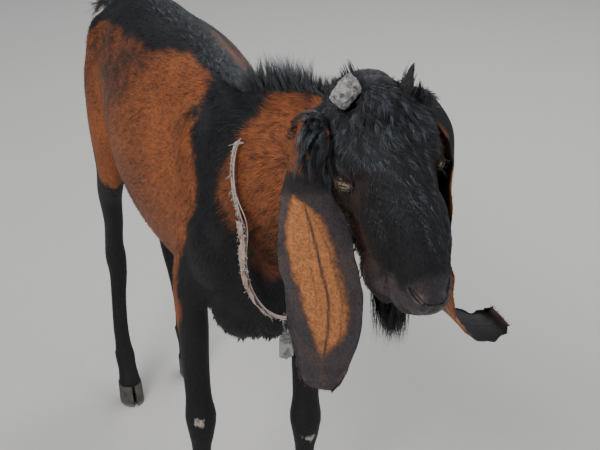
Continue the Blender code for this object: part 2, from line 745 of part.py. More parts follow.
def lock(draw, root, out, lie, length, wide=LOCK_WIDE, stand=0.35, curl=0.10):
    """One flat, tapered lock: it leaves its root along out, and bends over into its lie."""
    out, lie = out.normalized(), lie.normalized()
    side = lie.cross(out).normalized()
    sway = curl * draw.uniform(-1, 1)
    stand *= draw.uniform(0.8, 1.2)
    length *= draw.uniform(0.85, 1.15)
    # How far along, and the share of the full width and thickness there.
    stations = ((0.22, 0.90, 1.0), (0.48, 1.00, 0.9), (0.76, 0.66, 0.6), (1.0, 0.08, 0.12))
    rows = [(*(root - LOCK_SINK * out), 0.55 * wide, LOCK_THICK, 0.0)]
    for along, share, thick in stations:
        rise = stand * (1 - (1 - along) ** 2)
        place = root + length * (rise * out + along * (1 - 0.4 * stand) * lie + sway * along**2 * side)
        rows.append((*place, share * wide, thick * LOCK_THICK, 0.0))
    return loft("lock", rows, side, steps=1, around=4)


def with_locks(obj, locks):
    """The node with its locks joined to it by one union, and the largest surface kept."""
    group = bpy.data.collections.new("locks")
    bpy.context.scene.collection.children.link(group)
    for piece in locks:
        group.objects.link(piece)
    join = obj.modifiers.new("Join", "BOOLEAN")
    join.operation = "UNION"
    join.operand_type = "COLLECTION"
    join.collection = group
    join.solver = "MANIFOLD"
    applied(obj)
    remove(locks)
    bpy.data.collections.remove(group)
    return largest_body(obj)


def crest_locks(tree):
    """The crest's locks in staggered rows, from behind the poll to the withers, leaning back and outwards."""
    draw = random.Random(5)
    line = smooth_rows(((0.029, -0.190, 0.79), (0.018, -0.130, 0.76), (0.006, -0.020, 0.70), (0.004, 0.110, 0.66)), 6)
    locks = []
    for k, place in enumerate(line[:-1]):
        fade = min(1.0, 1.0 - 0.05 * (k - 8))
        for spread in ((-0.16, 0.16), (0.0,))[k % 2]:
            start = Vector(place) + Vector((0, draw.uniform(-0.004, 0.004), 0))
            way = Vector((spread * draw.uniform(0.8, 1.2), -0.10, 1.0)).normalized()
            root = tree.ray_cast(start + 0.3 * way, -way)[0]
            out = Vector((1.5 * spread, 0.10, 1.0))
            lie = Vector((2.4 * spread, 1.0, -0.1))
            stand = fade * (0.52 if spread == 0 else 0.42)
            locks.append(lock(draw, root, out, lie, fade * CREST_LOCK, 1.35 * LOCK_WIDE, stand))
    return locks


def forelocks(tree):
    """The forelock's wavy locks, from the poll down over the forehead and to both sides."""
    draw = random.Random(11)
    locks = []
    for row, (along, count) in enumerate(((-0.006, 3), (0.016, 3), (0.038, 3), (0.058, 2))):
        for k in range(count):
            spread = (k - (count - 1) / 2) / 1.5
            across = 0.016 * spread + draw.uniform(-0.002, 0.002)
            root, normal = surface_spot(tree, (across, along, -0.030), (0.25 * spread, 0.0, 1.0))
            lie = head_way(0.55 * spread, 1.0, -0.15 - 0.1 * row)
            locks.append(lock(draw, root, normal, lie, FORELOCK, 1.15 * LOCK_WIDE, stand=0.36, curl=0.22))
    return locks


def beard_locks(tree):
    """The beard's locks, from the jaw behind the chin, hanging together to their tips."""
    draw = random.Random(23)
    locks = []
    for row, along in enumerate((0.122, 0.138, 0.154, 0.170)):
        for k in range(3):
            spread = k - 1.0 + 0.3 * (row % 2)
            root, normal = surface_spot(tree, (0.006 * spread, along, -0.060), (0.30 * spread, 0.0, -1.0))
            tip = BEARD_TIP + Vector((0.012 * spread, -0.004 * row, 0.010 * abs(spread) + 0.004 * row))
            hang = tip - root
            locks.append(lock(draw, root, normal, hang, hang.length, 1.2 * LOCK_WIDE, stand=0.05, curl=0.05))
    return locks


def tail_locks(tree):
    """The tail's locks, fanned from the dock backwards and down."""
    draw = random.Random(37)
    locks = []
    for row in range(3):
        along = RUMP_END + 0.034 + 0.029 * row
        for k in range(4):
            turn = math.radians(-150 + 90 * k + 40 * (row % 2))
            way = Vector((math.cos(turn), 0.0, math.sin(turn)))
            middle = Vector((0.0, along, CROUP_HEIGHT - 0.077 - 0.0040 * row**2))
            root, normal = tree.ray_cast(middle + 0.1 * way, -way)[:2]
            lie = Vector((0.35 * way.x, 1.0, -0.45 - 0.20 * row))
            locks.append(lock(draw, root, normal, lie, TAIL_LOCK, stand=0.22, curl=0.12))
    return locks


def head_solid():
    """The head with its lids, nostrils and line of the mouth, and with room for eyes and horns."""
    head = fused("head", head_pieces() + neck_pieces() + [beard_piece()], HEAD_VOXEL)
    place, way = head_cut()
    trimmed(head, place - way * 0.01, way)
    softened(head, 5)
    thinned(head, HEAD_TRIANGLES)
    tree = tree_of(head)
    with_locks(head, forelocks(tree) + beard_locks(tree))
    trimmed(head, place + way * GAP / 2, way)
    largest_body(head)
    for side in (-1, 1):
        near, far = sorted((side * EAR_ROOT, side * 0.2))
        cut(head, block("root", (near, -0.045, -0.090), (far, 0.045, -0.002), head_matrix()))
        cut(head, loft("socket", horn_rows(side), head_way(1, 0, 0), steps=2, around=10, grow=GAP))
        eye = head_point(side * EYE_PLACE[0], *EYE_PLACE[1:])
        socket = ball("socket", eye, [EYEBALL_RADIUS + GAP] * 3, rings=7)
        cut(head, cut(socket, lid_slit(side), "UNION"))
        cut(head, nostril(tree, side))
    cut(head, mouth_line(tree))
    head.name = "head"
    return head


def tree_of(obj):
    """The outside of an object, for finding places on it."""
    shape = bmesh.new()
    shape.from_mesh(obj.data)
    tree = BVHTree.FromBMesh(shape)
    shape.free()
    return tree


def surface_spot(tree, place, way):
    """Where a line from inside the head leaves it, and the skin's way out there, from the head's own place and way."""
    start = head_point(*place)
    line = head_way(*way).normalized()
    return tree.ray_cast(start + 0.2 * line, -line)[:2]


def surface(tree, place, way):
    """The place alone where such a line leaves the head."""
    return surface_spot(tree, place, way)[0]


def lid_slit(side):
    """The opening between the half-shut lids of one eye."""
    along = head_way(-side * 0.60, 0.55, 0.58).normalized()
    out = head_way(side * 0.78, 0.35, 0.45)
    across = out.cross(along).normalized()
    out = along.cross(across)
    turn = Matrix((along, across, out)).transposed()
    eye = head_point(side * EYE_PLACE[0], *EYE_PLACE[1:])
    return ball("slit", eye + out * 0.8 * LID_RADIUS, (0.0105, 0.0028, 0.0110), turn, rings=8)


def nostril(tree, side):
    """A comma-shaped opening at the side of the nose."""
    rows = []
    ways = ((0.75, 0.60, 0.30, 0.0022), (0.55, 0.80, 0.12, 0.0042), (0.36, 0.90, -0.14, 0.0024))
    for across, along, up, radius in ways:
        place = surface(tree, (0, 0.215, -0.035), (side * across, along, up))
        rows.append((*place, radius, 1.6 * radius, 0.0))
    return loft("nostril", rows, head_way(side, 0.5, 1), steps=4, around=8)


def mouth_line(tree):
    """A groove round the muzzle between the lips."""
    rows = []
    for angle in np.linspace(-80, 80, 11):
        turn = math.radians(angle)
        up = -0.012 * math.cos(turn)
        place = surface(tree, (0, 0.195, -0.058), (math.sin(turn), math.cos(turn), 2 * up))
        rows.append((*place, 0.0016, 0.0016, 0.0))
    return loft("mouth", rows, head_way(0, 0, 1), steps=2, around=6)


def body_solids():
    """The neck, the torso, the tail and the legs, parted by thin cuts."""
    pieces = trunk_pieces() + neck_pieces() + head_pieces() + [crest_piece(), tail_piece()]
    for foot in FEET:
        legs = front_leg_pieces if foot.startswith("front") else hind_leg_pieces
        pieces += legs(foot)
    body = fused("torso", pieces, BODY_VOXEL)
    place, way = head_cut()
    trimmed(body, place + way * 0.01, -way)
    softened(body, 36, trunk_weight)
    thinned(body, BODY_TRIANGLES)
    skin = tree_of(body)
    with_locks(body, crest_locks(skin))
    trimmed(body, place - way * GAP / 2, -way)
    place, way = neck_cut()
    neck = copy_of(body, "neck")
    trimmed(neck, place + way * GAP / 2, way)
    largest_body(neck)
    trimmed(body, place - way * GAP / 2, -way)
    largest_body(body)
    tail = copy_of(body, "tail")
    trimmed(tail, (0, TAIL_CUT + GAP / 2, 0), (0, 1, 0))
    trimmed(body, (0, TAIL_CUT - GAP / 2, 0), (0, -1, 0))
    with_locks(tail, tail_locks(skin))
    for foot in FEET:
        leg = copy_of(body, "leg_" + foot)
        cut(leg, leg_region(foot, GAP), "INTERSECT")
        trimmed(leg, (0, 0, CORONET_HEIGHT), (0, 0, 1))
        lower = copy_of(leg, "leg_" + foot + "_lower")
        leg.name = "leg_" + foot + "_upper"
        height = FRONT_LEG_SPLIT if foot.startswith("front") else HIND_LEG_SPLIT
        trimmed(leg, (0, 0, height + GAP / 2), (0, 0, 1))
        trimmed(lower, (0, 0, height - GAP / 2), (0, 0, -1))
        largest_body(leg)
        largest_body(lower)
    for foot in FEET:
        cut(body, leg_region(foot, 0))
    body.name = "torso"
    return body, neck, skin


def collar_line(tree):
    """The collar's middle line, round the root of the neck, with the way out from the neck at each place."""
    middle = Vector((-0.003, -0.094, 0.675))
    up = Vector((0, 0.205, 0.979))
    side = Vector((1, 0, 0))
    turns = [2 * math.pi * k / COLLAR_PLACES for k in range(COLLAR_PLACES)]
    ways = [side * math.cos(turn) + up * math.sin(turn) for turn in turns]
    reach = [(tree.ray_cast(middle + 0.4 * way, -way)[0] - middle).length for way in ways]
    reach = [min(length, COLLAR_REACH) for length in reach]
    line = []
    for k, way in enumerate(ways):
        near, far = reach[k - 1], reach[(k + 1) % COLLAR_PLACES]
        even = max((near + 2 * reach[k] + far) / 4, reach[k])
        slack = COLLAR_SLACK * max(0.0, -math.sin(turns[k])) ** 4
        line.append((middle + way * (even + slack + COLLAR_THICK + 2 * GAP), way))
    return line


def hoop(name, line, half_width, half_thick):
    """A closed band along a ring of places."""
    shape = bmesh.new()
    rings = []
    count = len(line)
    for k, (place, way) in enumerate(line):
        along = (line[(k + 1) % count][0] - line[k - 1][0]).normalized()
        wide = along.cross(way).normalized()
        ring = []
        for j in range(COLLAR_SIDES):
            turn = 2 * math.pi * j / COLLAR_SIDES
            spot = place + wide * half_width * math.cos(turn) + way * half_thick * math.sin(turn)
            ring.append(shape.verts.new(spot))
        rings.append(ring)
    for k in range(count):
        low, high = rings[k], rings[(k + 1) % count]
        for j in range(COLLAR_SIDES):
            n = (j + 1) % COLLAR_SIDES
            shape.faces.new((low[j], low[n], high[n], high[j]))
    bmesh.ops.recalc_face_normals(shape, faces=shape.faces)
    mesh = bpy.data.meshes.new(name)
    shape.to_mesh(mesh)
    shape.free()
    return new_object(name, mesh)


def wire_line(centre, across, up, turn, count=14):
    """An oval of places about a centre, upright and turned about its own height."""
    line = []
    for k in range(count):
        angle = 2 * math.pi * k / count
        place = turn @ Vector((across * math.cos(angle), 0, up * math.sin(angle)))
        line.append((centre + place, place.normalized()))
    return line


def neckwear(neck, body, skin):
    """The string collar sunk in the coat, the torn cloth tied along it, the link, the bell and its clapper."""
    line = collar_line(skin)
    hoop("collar", line, COLLAR_WIDE, COLLAR_THICK)
    groove = hoop("groove", line, COLLAR_WIDE + GAP, COLLAR_THICK + GAP)
    cut(neck, groove, keep=True)
    cut(body, groove, keep=True)
    count = len(line)
    rows, ways = [], []
    first, last = round(0.515 * count), round(0.730 * count)
    for k in range(first, last + 1):
        place, way = line[k]
        end = 0.55 if k in (first, last) else 1.0
        rows.append((*(place + way * (COLLAR_THICK + GAP + CLOTH_THICK)), CLOTH_WIDE * end, CLOTH_THICK, 0.0))
        along = line[k + 1][0] - line[k - 1][0]
        ways.append(along.cross(way).normalized())
    cut(loft("collar_cloth", rows, ways, steps=1, around=8), groove)
    low = min(line, key=lambda spot: spot[0].z)[0]
    centre = low + Vector((0, 0, COLLAR_THICK + LINK_THICK + LINK_PLAY - LINK_HEIGHT))
    turned = Matrix.Rotation(math.radians(90), 3, "Z")
    link = wire_line(centre, LINK_WIDE, LINK_HEIGHT, turned)
    hoop("bell_link", link, LINK_THICK, LINK_THICK)
    hang = centre - Vector((0, 0, LINK_HEIGHT + 0.0030))
    stations = (
        (0.0000, 0.0085, 0.0012),
        (-0.0020, 0.0100, 0.0022),
        (-0.0060, 0.0100, 0.0055),
        (-0.0120, 0.0100, 0.0068),
        (-0.0350, 0.0105, 0.0074),
    )
    rows = [(hang.x, hang.y, hang.z + z, half, deep, 0.0) for z, half, deep in stations]
    bell = loft("bell", rows, (1, 0, 0), steps=1, around=16)
    rows = [
        (hang.x, hang.y, hang.z + z, half - BELL_WALL, deep - BELL_WALL, 0.0)
        for z, half, deep in ((-0.006, 0.0100, 0.0055), (-0.0120, 0.0100, 0.0068), (-0.0380, 0.0105, 0.0074))
    ]
    cut(bell, loft("hollow", rows, (1, 0, 0), steps=1, around=16))
    lug_line = wire_line(hang + Vector((0, 0, 0.0012)), 0.0042, 0.0045, Matrix.Identity(3))
    cut(bell, hoop("lug", lug_line, BELL_WALL, BELL_WALL), "UNION")
    bell.name = "bell"
    rows = (
        (hang.x, hang.y, hang.z - 0.006 - GAP, 0.0008, 0.0008, 0.0),
        (hang.x, hang.y, hang.z - 0.029, 0.0008, 0.0008, 0.0),
        (hang.x, hang.y, hang.z - 0.033, 0.0024, 0.0024, 0.0),
        (hang.x, hang.y, hang.z - 0.038, 0.0030, 0.0030, 0.0),
        (hang.x, hang.y, hang.z - 0.0405, 0.0014, 0.0014, 0.0),
    )
    loft("bell_clapper", rows, (1, 0, 0), steps=1, around=8)


def main():
    for obj in list(bpy.data.objects):
        bpy.data.objects.remove(obj)
    body, neck, skin = body_solids()
    head_solid()
    neckwear(neck, body, skin)
    for side, word in ((-1, "right"), (1, "left")):
        ear(side)
        loft("horn_" + word, horn_rows(side), head_way(1, 0, 0), steps=2, around=10)
        eye = head_point(side * EYE_PLACE[0], *EYE_PLACE[1:])
        ball("eye_" + word, eye, [EYEBALL_RADIUS] * 3, rings=7)
    for foot in FEET:
        hooves(foot)
    shift = Matrix.Translation((-BOX_MIDDLE[0], -BOX_MIDDLE[1], 0))
    for obj in bpy.data.objects:
        obj.data.transform(shift)
        finished(obj)


if __name__ == "__main__":
    main()
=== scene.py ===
"""Dresses the long-eared billy goat: skin, coat, eyes, horns, hooves, string collar and bell, on a pale stage.

Metres, +Z up. The goat faces -Y, its left side is +X, and the floor is Z = 0. The body plan is written in
stance places, from the point on the floor between the front hooves, and SHIFT carries them to the frame.
"""

import math

import bmesh
import bpy
import numpy as np
from bpy.props import FloatProperty, FloatVectorProperty, IntProperty, PointerProperty
from mathutils import Euler, Matrix, Vector
from mathutils.bvhtree import BVHTree


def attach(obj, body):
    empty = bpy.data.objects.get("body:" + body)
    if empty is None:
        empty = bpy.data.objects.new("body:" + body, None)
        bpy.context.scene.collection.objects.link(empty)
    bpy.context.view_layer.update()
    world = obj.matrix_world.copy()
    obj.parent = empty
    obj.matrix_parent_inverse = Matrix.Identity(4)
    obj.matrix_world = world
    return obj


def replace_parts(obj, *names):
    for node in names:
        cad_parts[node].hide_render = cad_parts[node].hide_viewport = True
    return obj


bl_info = {
    "name": "Billy Goat Dresser",
    "version": (1, 0, 0),
    "blender": (4, 5, 0),
    "location": "3D Viewport > Sidebar > Goat",
    "description": "Dresses a life-size goat model with skin, coat, hooves, horns and a belled string collar",
    "category": "Add Mesh",
}

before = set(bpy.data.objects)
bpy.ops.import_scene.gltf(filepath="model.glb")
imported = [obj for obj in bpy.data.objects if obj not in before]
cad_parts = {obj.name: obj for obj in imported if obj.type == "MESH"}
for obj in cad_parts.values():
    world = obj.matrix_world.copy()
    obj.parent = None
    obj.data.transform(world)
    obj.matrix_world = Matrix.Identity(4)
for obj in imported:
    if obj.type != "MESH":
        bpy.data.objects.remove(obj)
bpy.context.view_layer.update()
SHIFT = Vector((-0.056, -0.198, 0.0))

# Driving heights and lengths of the body.
WITHERS_HEIGHT = 0.815
CROUP_HEIGHT = 0.830
CHEST_FLOOR = 0.462
BELLY_FLOOR = 0.452
CHEST_FRONT = -0.085
RUMP_END = 0.695
CHEST_HALF = 0.100
RIB_HALF = 0.128
RUMP_HALF = 0.088
ELBOW_HEIGHT = 0.485
KNEE_HEIGHT = 0.268
STIFLE_HEIGHT = 0.490
HOCK_HEIGHT = 0.285
FETLOCK_HEIGHT = 0.088
CORONET_HEIGHT = 0.038
HIND_FETLOCK_BACK = 0.030
FEET = {
    "front_right": (-0.080, 0.055),
    "front_left": (0.070, -0.010),
    "hind_right": (-0.074, 0.542),
    "hind_left": (0.064, 0.585),
}
POLL = Vector((0.050, -0.291, 0.897))
HEAD_TURN = Euler((math.radians(48.5), math.radians(-5.0), math.radians(-4.0)), "XYZ")
BROW_HALF = 0.062
EYE_PLACE = (0.0520, 0.083, -0.034)
EYE_ROUND = 0.0133
LID_RADIUS = 0.0150
BEARD_TIP = Vector((0.054, -0.338, 0.597))

# How fine the skin is.
BODY_VOXEL = 0.0030
HEAD_VOXEL = 0.0015
EAR_THICK = 0.0020
EAR_HALF = 0.047


def colour_property(name, description, default):
    """A colour that a user may change."""
    return FloatVectorProperty(
        name=name, description=description, default=default, subtype="COLOR", size=3, min=0.0, max=1.0
    )


def length_property(name, description, default):
    """A length in metres that a user may change."""
    return FloatProperty(name=name, description=description, default=default, unit="LENGTH", min=0.0)


class GoatCoatSettings(bpy.types.PropertyGroup):
    """Lengths, fineness and colours of the coat and of the ears' bare leather."""

    short_length: length_property("Short hair", "Length of the hair on the flanks", 0.0150)
    short_width: length_property("Tuft width", "Width of a tuft of short hair", 0.0012)
    density: IntProperty(
        name="Density", description="Short tufts on a square metre of the trunk", default=150000, min=1000
    )
    brown: colour_property("Brown", "The flanks and the neck", (0.285, 0.082, 0.025))
    black: colour_property("Black", "The face, back, band and legs", (0.0060, 0.0058, 0.0075))
    # Grey sheen is a painted highlight: a colour mixed over the black hair, mostly at the tips, in place of light
    # glancing off it.
    sheen: colour_property("Grey sheen", "The tips of the long black hair", (0.090, 0.108, 0.130))
    orange: colour_property("Ear orange", "The warm patch on the ears", (0.520, 0.195, 0.068))
    leather: colour_property("Ear border", "The dark leather round the ears' edges", (0.045, 0.036, 0.043))


class GoatTrimSettings(bpy.types.PropertyGroup):
    """Colours of horn, hoof, eyes and of what hangs round the neck."""

    horn: colour_property("Horn", "Crusty horn stubs", (0.300, 0.290, 0.275))
    hoof: colour_property("Hoof", "Claws of the feet", (0.045, 0.040, 0.036))
    iris: colour_property("Iris", "The eyes' amber", (0.600, 0.460, 0.250))
    string: colour_property("String", "The collar's strings", (0.620, 0.500, 0.460))
    cloth: colour_property("Cloth", "The torn cloth on the collar", (0.520, 0.390, 0.310))
    tin: colour_property("Tin", "The bell and its link", (0.400, 0.400, 0.390))
    string_radius: length_property("String radius", "Half the thickness of one string", 0.0008)


class GoatStageSettings(bpy.types.PropertyGroup):
    """The floor and the light."""

    floor: colour_property("Floor", "The pale floor", (0.620, 0.600, 0.570))
    light: FloatProperty(name="Light", description="Power of the large lamp", default=92.0, unit="POWER", min=0.0)
    sky: FloatProperty(name="Sky", description="Strength of the light from all round", default=0.50, min=0.0)


class Flow:
    """A material's socket, on which sums can be written. Each one adds the node that it needs."""

    def __init__(self, tree, socket):
        self.tree, self.socket = tree, socket

    def plug(self, target, value):
        """Sets a socket to a number or a colour, or links it to another flow."""
        if isinstance(value, Flow):
            self.tree.links.new(value.socket, target)
        elif target.type == "RGBA" and len(value) == 3:
            target.default_value = (*value, 1.0)
        else:
            target.default_value = value

    def node(self, kind, settings=None, inputs=None, out=0):
        """Any node: its type, its settings, its sockets' values or links, and the output that is wanted."""
        made = self.tree.nodes.new(kind)
        for key, value in (settings or {}).items():
            setattr(made, key, value)
        for key, value in (inputs or {}).items():
            self.plug(made.inputs[key], value)
        return Flow(self.tree, made.outputs[out])

    def sum(self, operation, other, swapped=False):
        pair = (other, self) if swapped else (self, other)
        if self.socket.type == "VALUE":
            return self.node("ShaderNodeMath", {"operation": operation}, dict(enumerate(pair)))
        wide = [v if isinstance(v, Flow) or hasattr(v, "__len__") else (v, v, v) for v in pair]
        return self.node("ShaderNodeVectorMath", {"operation": operation}, dict(enumerate(wide)))

    def __add__(self, other):
        return self.sum("ADD", other)

    __radd__ = __add__

    def __mul__(self, other):
        return self.sum("MULTIPLY", other)

    __rmul__ = __mul__

    def __sub__(self, other):
        return self.sum("SUBTRACT", other)

    def __rsub__(self, other):
        return self.sum("SUBTRACT", other, True)

    def __truediv__(self, other):
        return self.sum("DIVIDE", other)

    def __rtruediv__(self, other):
        return self.sum("DIVIDE", other, True)

    def __pow__(self, other):
        return self.sum("POWER", other)

    def split(self, axis):
        return self.node("ShaderNodeSeparateXYZ", None, {0: self}, axis)

    def ramp(self, low, high, start=0.0, end=1.0):
        """The value carried smoothly from start at low to end at high."""
        return self.node(
            "ShaderNodeMapRange",
            {"interpolation_type": "SMOOTHSTEP"},
            {"Value": self, "From Min": low, "From Max": high, "To Min": start, "To Max": end},
        )

    def mix(self, low, high):
        """The colour low where this value is 0, and high where it is 1."""
        return self.node("ShaderNodeMix", {"data_type": "RGBA"}, {0: self, 6: low, 7: high}, 2)

    def noise(self, scale, detail=4.0, rough=0.55, out="Fac"):
        """Cloudy noise read at this place."""
        return self.node(
            "ShaderNodeTexNoise", None, {"Vector": self, "Scale": scale, "Detail": detail, "Roughness": rough}, out
        )

    def cells(self, scale, feature="F1", out="Distance"):
        """Cells read at this place."""
        return self.node("ShaderNodeTexVoronoi", {"feature": feature}, {"Vector": self, "Scale": scale}, out)

    def bump(self, height, strength, depth):
        """The bumped normal of a height."""
        return self.node("ShaderNodeBump", None, {"Strength": strength, "Distance": depth, "Height": height})


def material(name, roughness=0.6, metallic=0.0, **constants):
    """A new material, its shader, and a flow that gives the place on the object."""
    made = bpy.data.materials.new(name)
    made.use_nodes = True
    shader = made.node_tree.nodes["Principled BSDF"]
    shader.inputs["Roughness"].default_value = roughness
    shader.inputs["Metallic"].default_value = metallic
    for key, value in constants.items():
        shader.inputs[key.replace("_", " ")].default_value = value
    start = Flow(made.node_tree, None)
    place = start.node("ShaderNodeTexCoord", None, None, "Object")
    return made, shader, place


def read(place, name, out="Vector"):
    """A mesh attribute."""
    return place.node("ShaderNodeAttribute", {"attribute_name": name}, None, out)


def coat_colour(place, settings):
    """The coat's colour from its marks: brown, ear orange and bare leather over black."""
    marks = read(place, "marks")
    brown, orange, leather = marks.split(0), marks.split(1), marks.split(2)
    patch = place.noise(9.0, 3.0)
    fine = place.noise(110.0, 4.0)
    warm = patch.ramp(0.3, 0.7).mix([0.82 * v for v in settings.brown], [1.20 * v for v in settings.brown])
    colour = brown.mix(settings.black, warm)
    veined = fine.ramp(0.3, 0.7).mix([0.86 * v for v in settings.orange], [1.04 * v for v in settings.orange])
    colour = orange.mix(colour, veined)
    bare = place.noise(45.0, 4.0).ramp(0.4, 0.7).mix(settings.leather, (0.078, 0.052, 0.047))
    colour = leather.mix(colour, bare)
    return (orange * -1.0).ramp(0.2, 0.8).mix(colour, (0.46, 0.42, 0.38))


def skin_material(settings):
    """Short flat hair over skin, as colour and bump."""
    made, shader, place = material("goat_skin", 0.62, Specular_IOR_Level=0.35)
    streaks = (place * (1.0, 0.22, 0.55)).noise(520.0, 3.0)
    colour = coat_colour(place, settings)
    dark = streaks.ramp(0.25, 0.75, 0.55, 1.15)
    colour = colour * dark.node("ShaderNodeCombineXYZ", None, {0: dark, 1: dark, 2: dark})
    colour.plug(shader.inputs["Base Color"], colour)
    height = streaks + 0.4 * place.noise(90.0)
    place.plug(shader.inputs["Normal"], place.bump(height, 0.5, 0.0012))
    bare = read(place, "marks").split(2)
    place.plug(
        shader.inputs["Roughness"],
        bare.ramp(0.2, 0.9, 0.62, 0.36) + bare.ramp(1.1, 1.7, 0.0, -0.26) + 0.12 * place.noise(70.0)
    )
    return made


def hair_material(settings, name="goat_hair"):
    """Tufts of hair, each with its own shade, darker at the root, glossier where they are black, and with a painted
    grey sheen towards the tips.
    """
    made, shader, place = material(name, 0.50, Specular_IOR_Level=0.50)
    strand = read(place, "strand")
    shade, along, painted_sheen = strand.split(0), strand.split(1), strand.split(2)
    colour = coat_colour(place, settings)
    gain = (0.10 + 1.55 * shade) * along.ramp(0.0, 0.7, 0.55, 1.15)
    colour = colour * gain.node("ShaderNodeCombineXYZ", None, {0: gain, 1: gain, 2: gain})
    # Painted highlight: the grey sheen colour is mixed over the hair by its painted_sheen value, more strongly towards
    # the tips.
    tips = painted_sheen * along.ramp(0.0, 0.8, 0.25, 1.0)
    colour = tips.mix(colour, settings.sheen)
    place.plug(shader.inputs["Base Color"], colour)
    warm = read(place, "marks").split(0)
    place.plug(shader.inputs["Roughness"], warm.ramp(0.1, 0.8, 0.34, 0.52) + 0.14 * place.noise(140.0))
    return made


def new_object(name, mesh):
    """A named object of a mesh, in the scene."""
    obj = bpy.data.objects.new(name, mesh)
    bpy.context.scene.collection.objects.link(obj)
    return obj


def mesh_object(name, points, faces):
    """An object from arrays of points and of faces with equal numbers of corners."""
    faces = np.ascontiguousarray(faces, np.int32)
    mesh = bpy.data.meshes.new(name)
    mesh.vertices.add(len(points))
    mesh.vertices.foreach_set("co", np.asarray(points, np.float32).ravel())
    mesh.loops.add(faces.size)
    mesh.loops.foreach_set("vertex_index", faces.ravel())
    mesh.polygons.add(len(faces))
    mesh.polygons.foreach_set("loop_start", np.arange(0, faces.size, faces.shape[1], dtype=np.int32))
    mesh.update(calc_edges=True)
    return new_object(name, mesh)


def places_of(mesh):
    """The mesh's points as an array."""
    points = np.empty(len(mesh.vertices) * 3, np.float32)
    mesh.vertices.foreach_get("co", points)
    return points.reshape(-1, 3).astype(float)


def normals_of(mesh):
    """The way out at each of the mesh's points."""
    normals = np.empty(len(mesh.vertices) * 3, np.float32)
    mesh.vertex_normals.foreach_get("vector", normals)
    return normals.reshape(-1, 3).astype(float)


def set_places(mesh, points):
    """Moves the mesh's points to an array's places."""
    mesh.vertices.foreach_set("co", np.asarray(points, np.float32).ravel())
    mesh.update()


def store(mesh, name, values):
    """Keeps one vector for each of the mesh's points under a name."""
    kept = mesh.attributes.new(name, "FLOAT_VECTOR", "POINT")
    kept.data.foreach_set("vector", np.asarray(values, np.float32).ravel())


def remove(objects):
    """Takes helpers out of the scene."""
    for obj in objects:
        bpy.data.objects.remove(obj)


def applied(obj):
    """The object with its modifiers worked into its mesh."""
    graph = bpy.context.evaluated_depsgraph_get()
    mesh = bpy.data.meshes.new_from_object(obj.evaluated_get(graph))
    obj.modifiers.clear()
    obj.data = mesh
    return obj


def unit(vectors):
    """Each row brought to length 1."""
    return vectors / np.maximum(np.linalg.norm(vectors, axis=-1, keepdims=True), 1e-9)


def smoothstep(low, high, values):
    """Values carried smoothly from 0 at low to 1 at high."""
    t = np.clip((values - low) / (high - low), 0, 1)
    return t * t * (3 - 2 * t)


def smooth_rows(rows, steps):
    """Rows of numbers carried through a Catmull-Rom curve, with steps rows to each span."""
    rows = np.array(rows, float)
    knots = np.vstack([2 * rows[0] - rows[1], rows, 2 * rows[-1] - rows[-2]])
    made = []
    for i in range(len(rows) - 1):
        a, b, c, d = knots[i : i + 4]
        for k in range(steps):
            t = k / steps
            made.append(b + 0.5 * t * (c - a + t * (2 * a - 5 * b + 4 * c - d + t * (3 * (b - c) + d - a))))
    made.append(rows[-1])
    return np.array(made)


def loft_frames(rows, side, steps):
    """The centres of a loft's rings, with its ways across and deep, and its rows between."""
    rows = np.array(rows, float)
    side = np.broadcast_to(np.array(side, float), (len(rows), 3))
    table = smooth_rows(np.hstack([rows, side]), steps)
    along = unit(np.gradient(table[:, :3], axis=0))
    deep = unit(np.cross(table[:, 6:9], along))
    return table, np.cross(along, deep), deep, along


def loft(name, rows, side, steps=4, around=24, grow=0.0, bend=False):
    """A closed tube through rows of (x, y, z, half width, half depth, narrowing towards the top)."""
    table, wide, deep, _ = loft_frames(rows, side, steps)
    turn = np.linspace(0, 2 * math.pi, around, endpoint=False)[None, :, None]
    half, high, sixth = (table[:, k][:, None, None] for k in (3, 4, 5))
    narrowing, bending = (0.0, sixth) if bend else (sixth, 0.0)
    across = (half + grow) * np.cos(turn) * (1 - narrowing * np.sin(turn))
    up = (high + grow) * np.sin(turn) + bending * np.cos(turn) ** 2
    points = table[:, None, :3] + wide[:, None] * across + deep[:, None] * up
    count = len(table)
    ring = np.arange(around)
    after = (ring + 1) % around
    faces = [
        (k * around + a, k * around + b, (k + 1) * around + b, (k + 1) * around + a)
        for k in range(count - 1)
        for a, b in zip(ring, after)
    ]
    faces += [tuple(ring[::-1]), tuple((count - 1) * around + ring)]
    mesh = bpy.data.meshes.new(name)
    mesh.from_pydata(points.reshape(-1, 3).tolist(), [], [[int(i) for i in face] for face in faces])
    shape = bmesh.new()
    shape.from_mesh(mesh)
    bmesh.ops.recalc_face_normals(shape, faces=shape.faces)
    shape.to_mesh(mesh)
    shape.free()
    return new_object(name, mesh)


def ball(name, centre, radii, turn=Matrix.Identity(3), rings=14):
    """An ellipsoid, such as a muscle or a knob of bone."""
    shape = bmesh.new()
    bmesh.ops.create_uvsphere(shape, u_segments=2 * rings, v_segments=rings, radius=1)
    place = Matrix.Translation(centre) @ turn.to_4x4() @ Matrix.Diagonal((*radii, 1))
    bmesh.ops.transform(shape, matrix=place, verts=shape.verts)
    mesh = bpy.data.meshes.new(name)
    shape.to_mesh(mesh)
    shape.free()
    return new_object(name, mesh)


def joined(name, pieces):
    """One object that holds the meshes of all the pieces, which are then removed."""
    shape = bmesh.new()
    for piece in pieces:
        shape.from_mesh(piece.data)
    mesh = bpy.data.meshes.new(name)
    shape.to_mesh(mesh)
    shape.free()
    remove(pieces)
    return new_object(name, mesh)


def fused(name, pieces, voxel):
    """The pieces melted into one closed skin."""
    obj = joined(name, pieces)
    melt = obj.modifiers.new("Melt", "REMESH")
    melt.mode = "VOXEL"
    melt.voxel_size = voxel
    return applied(obj)


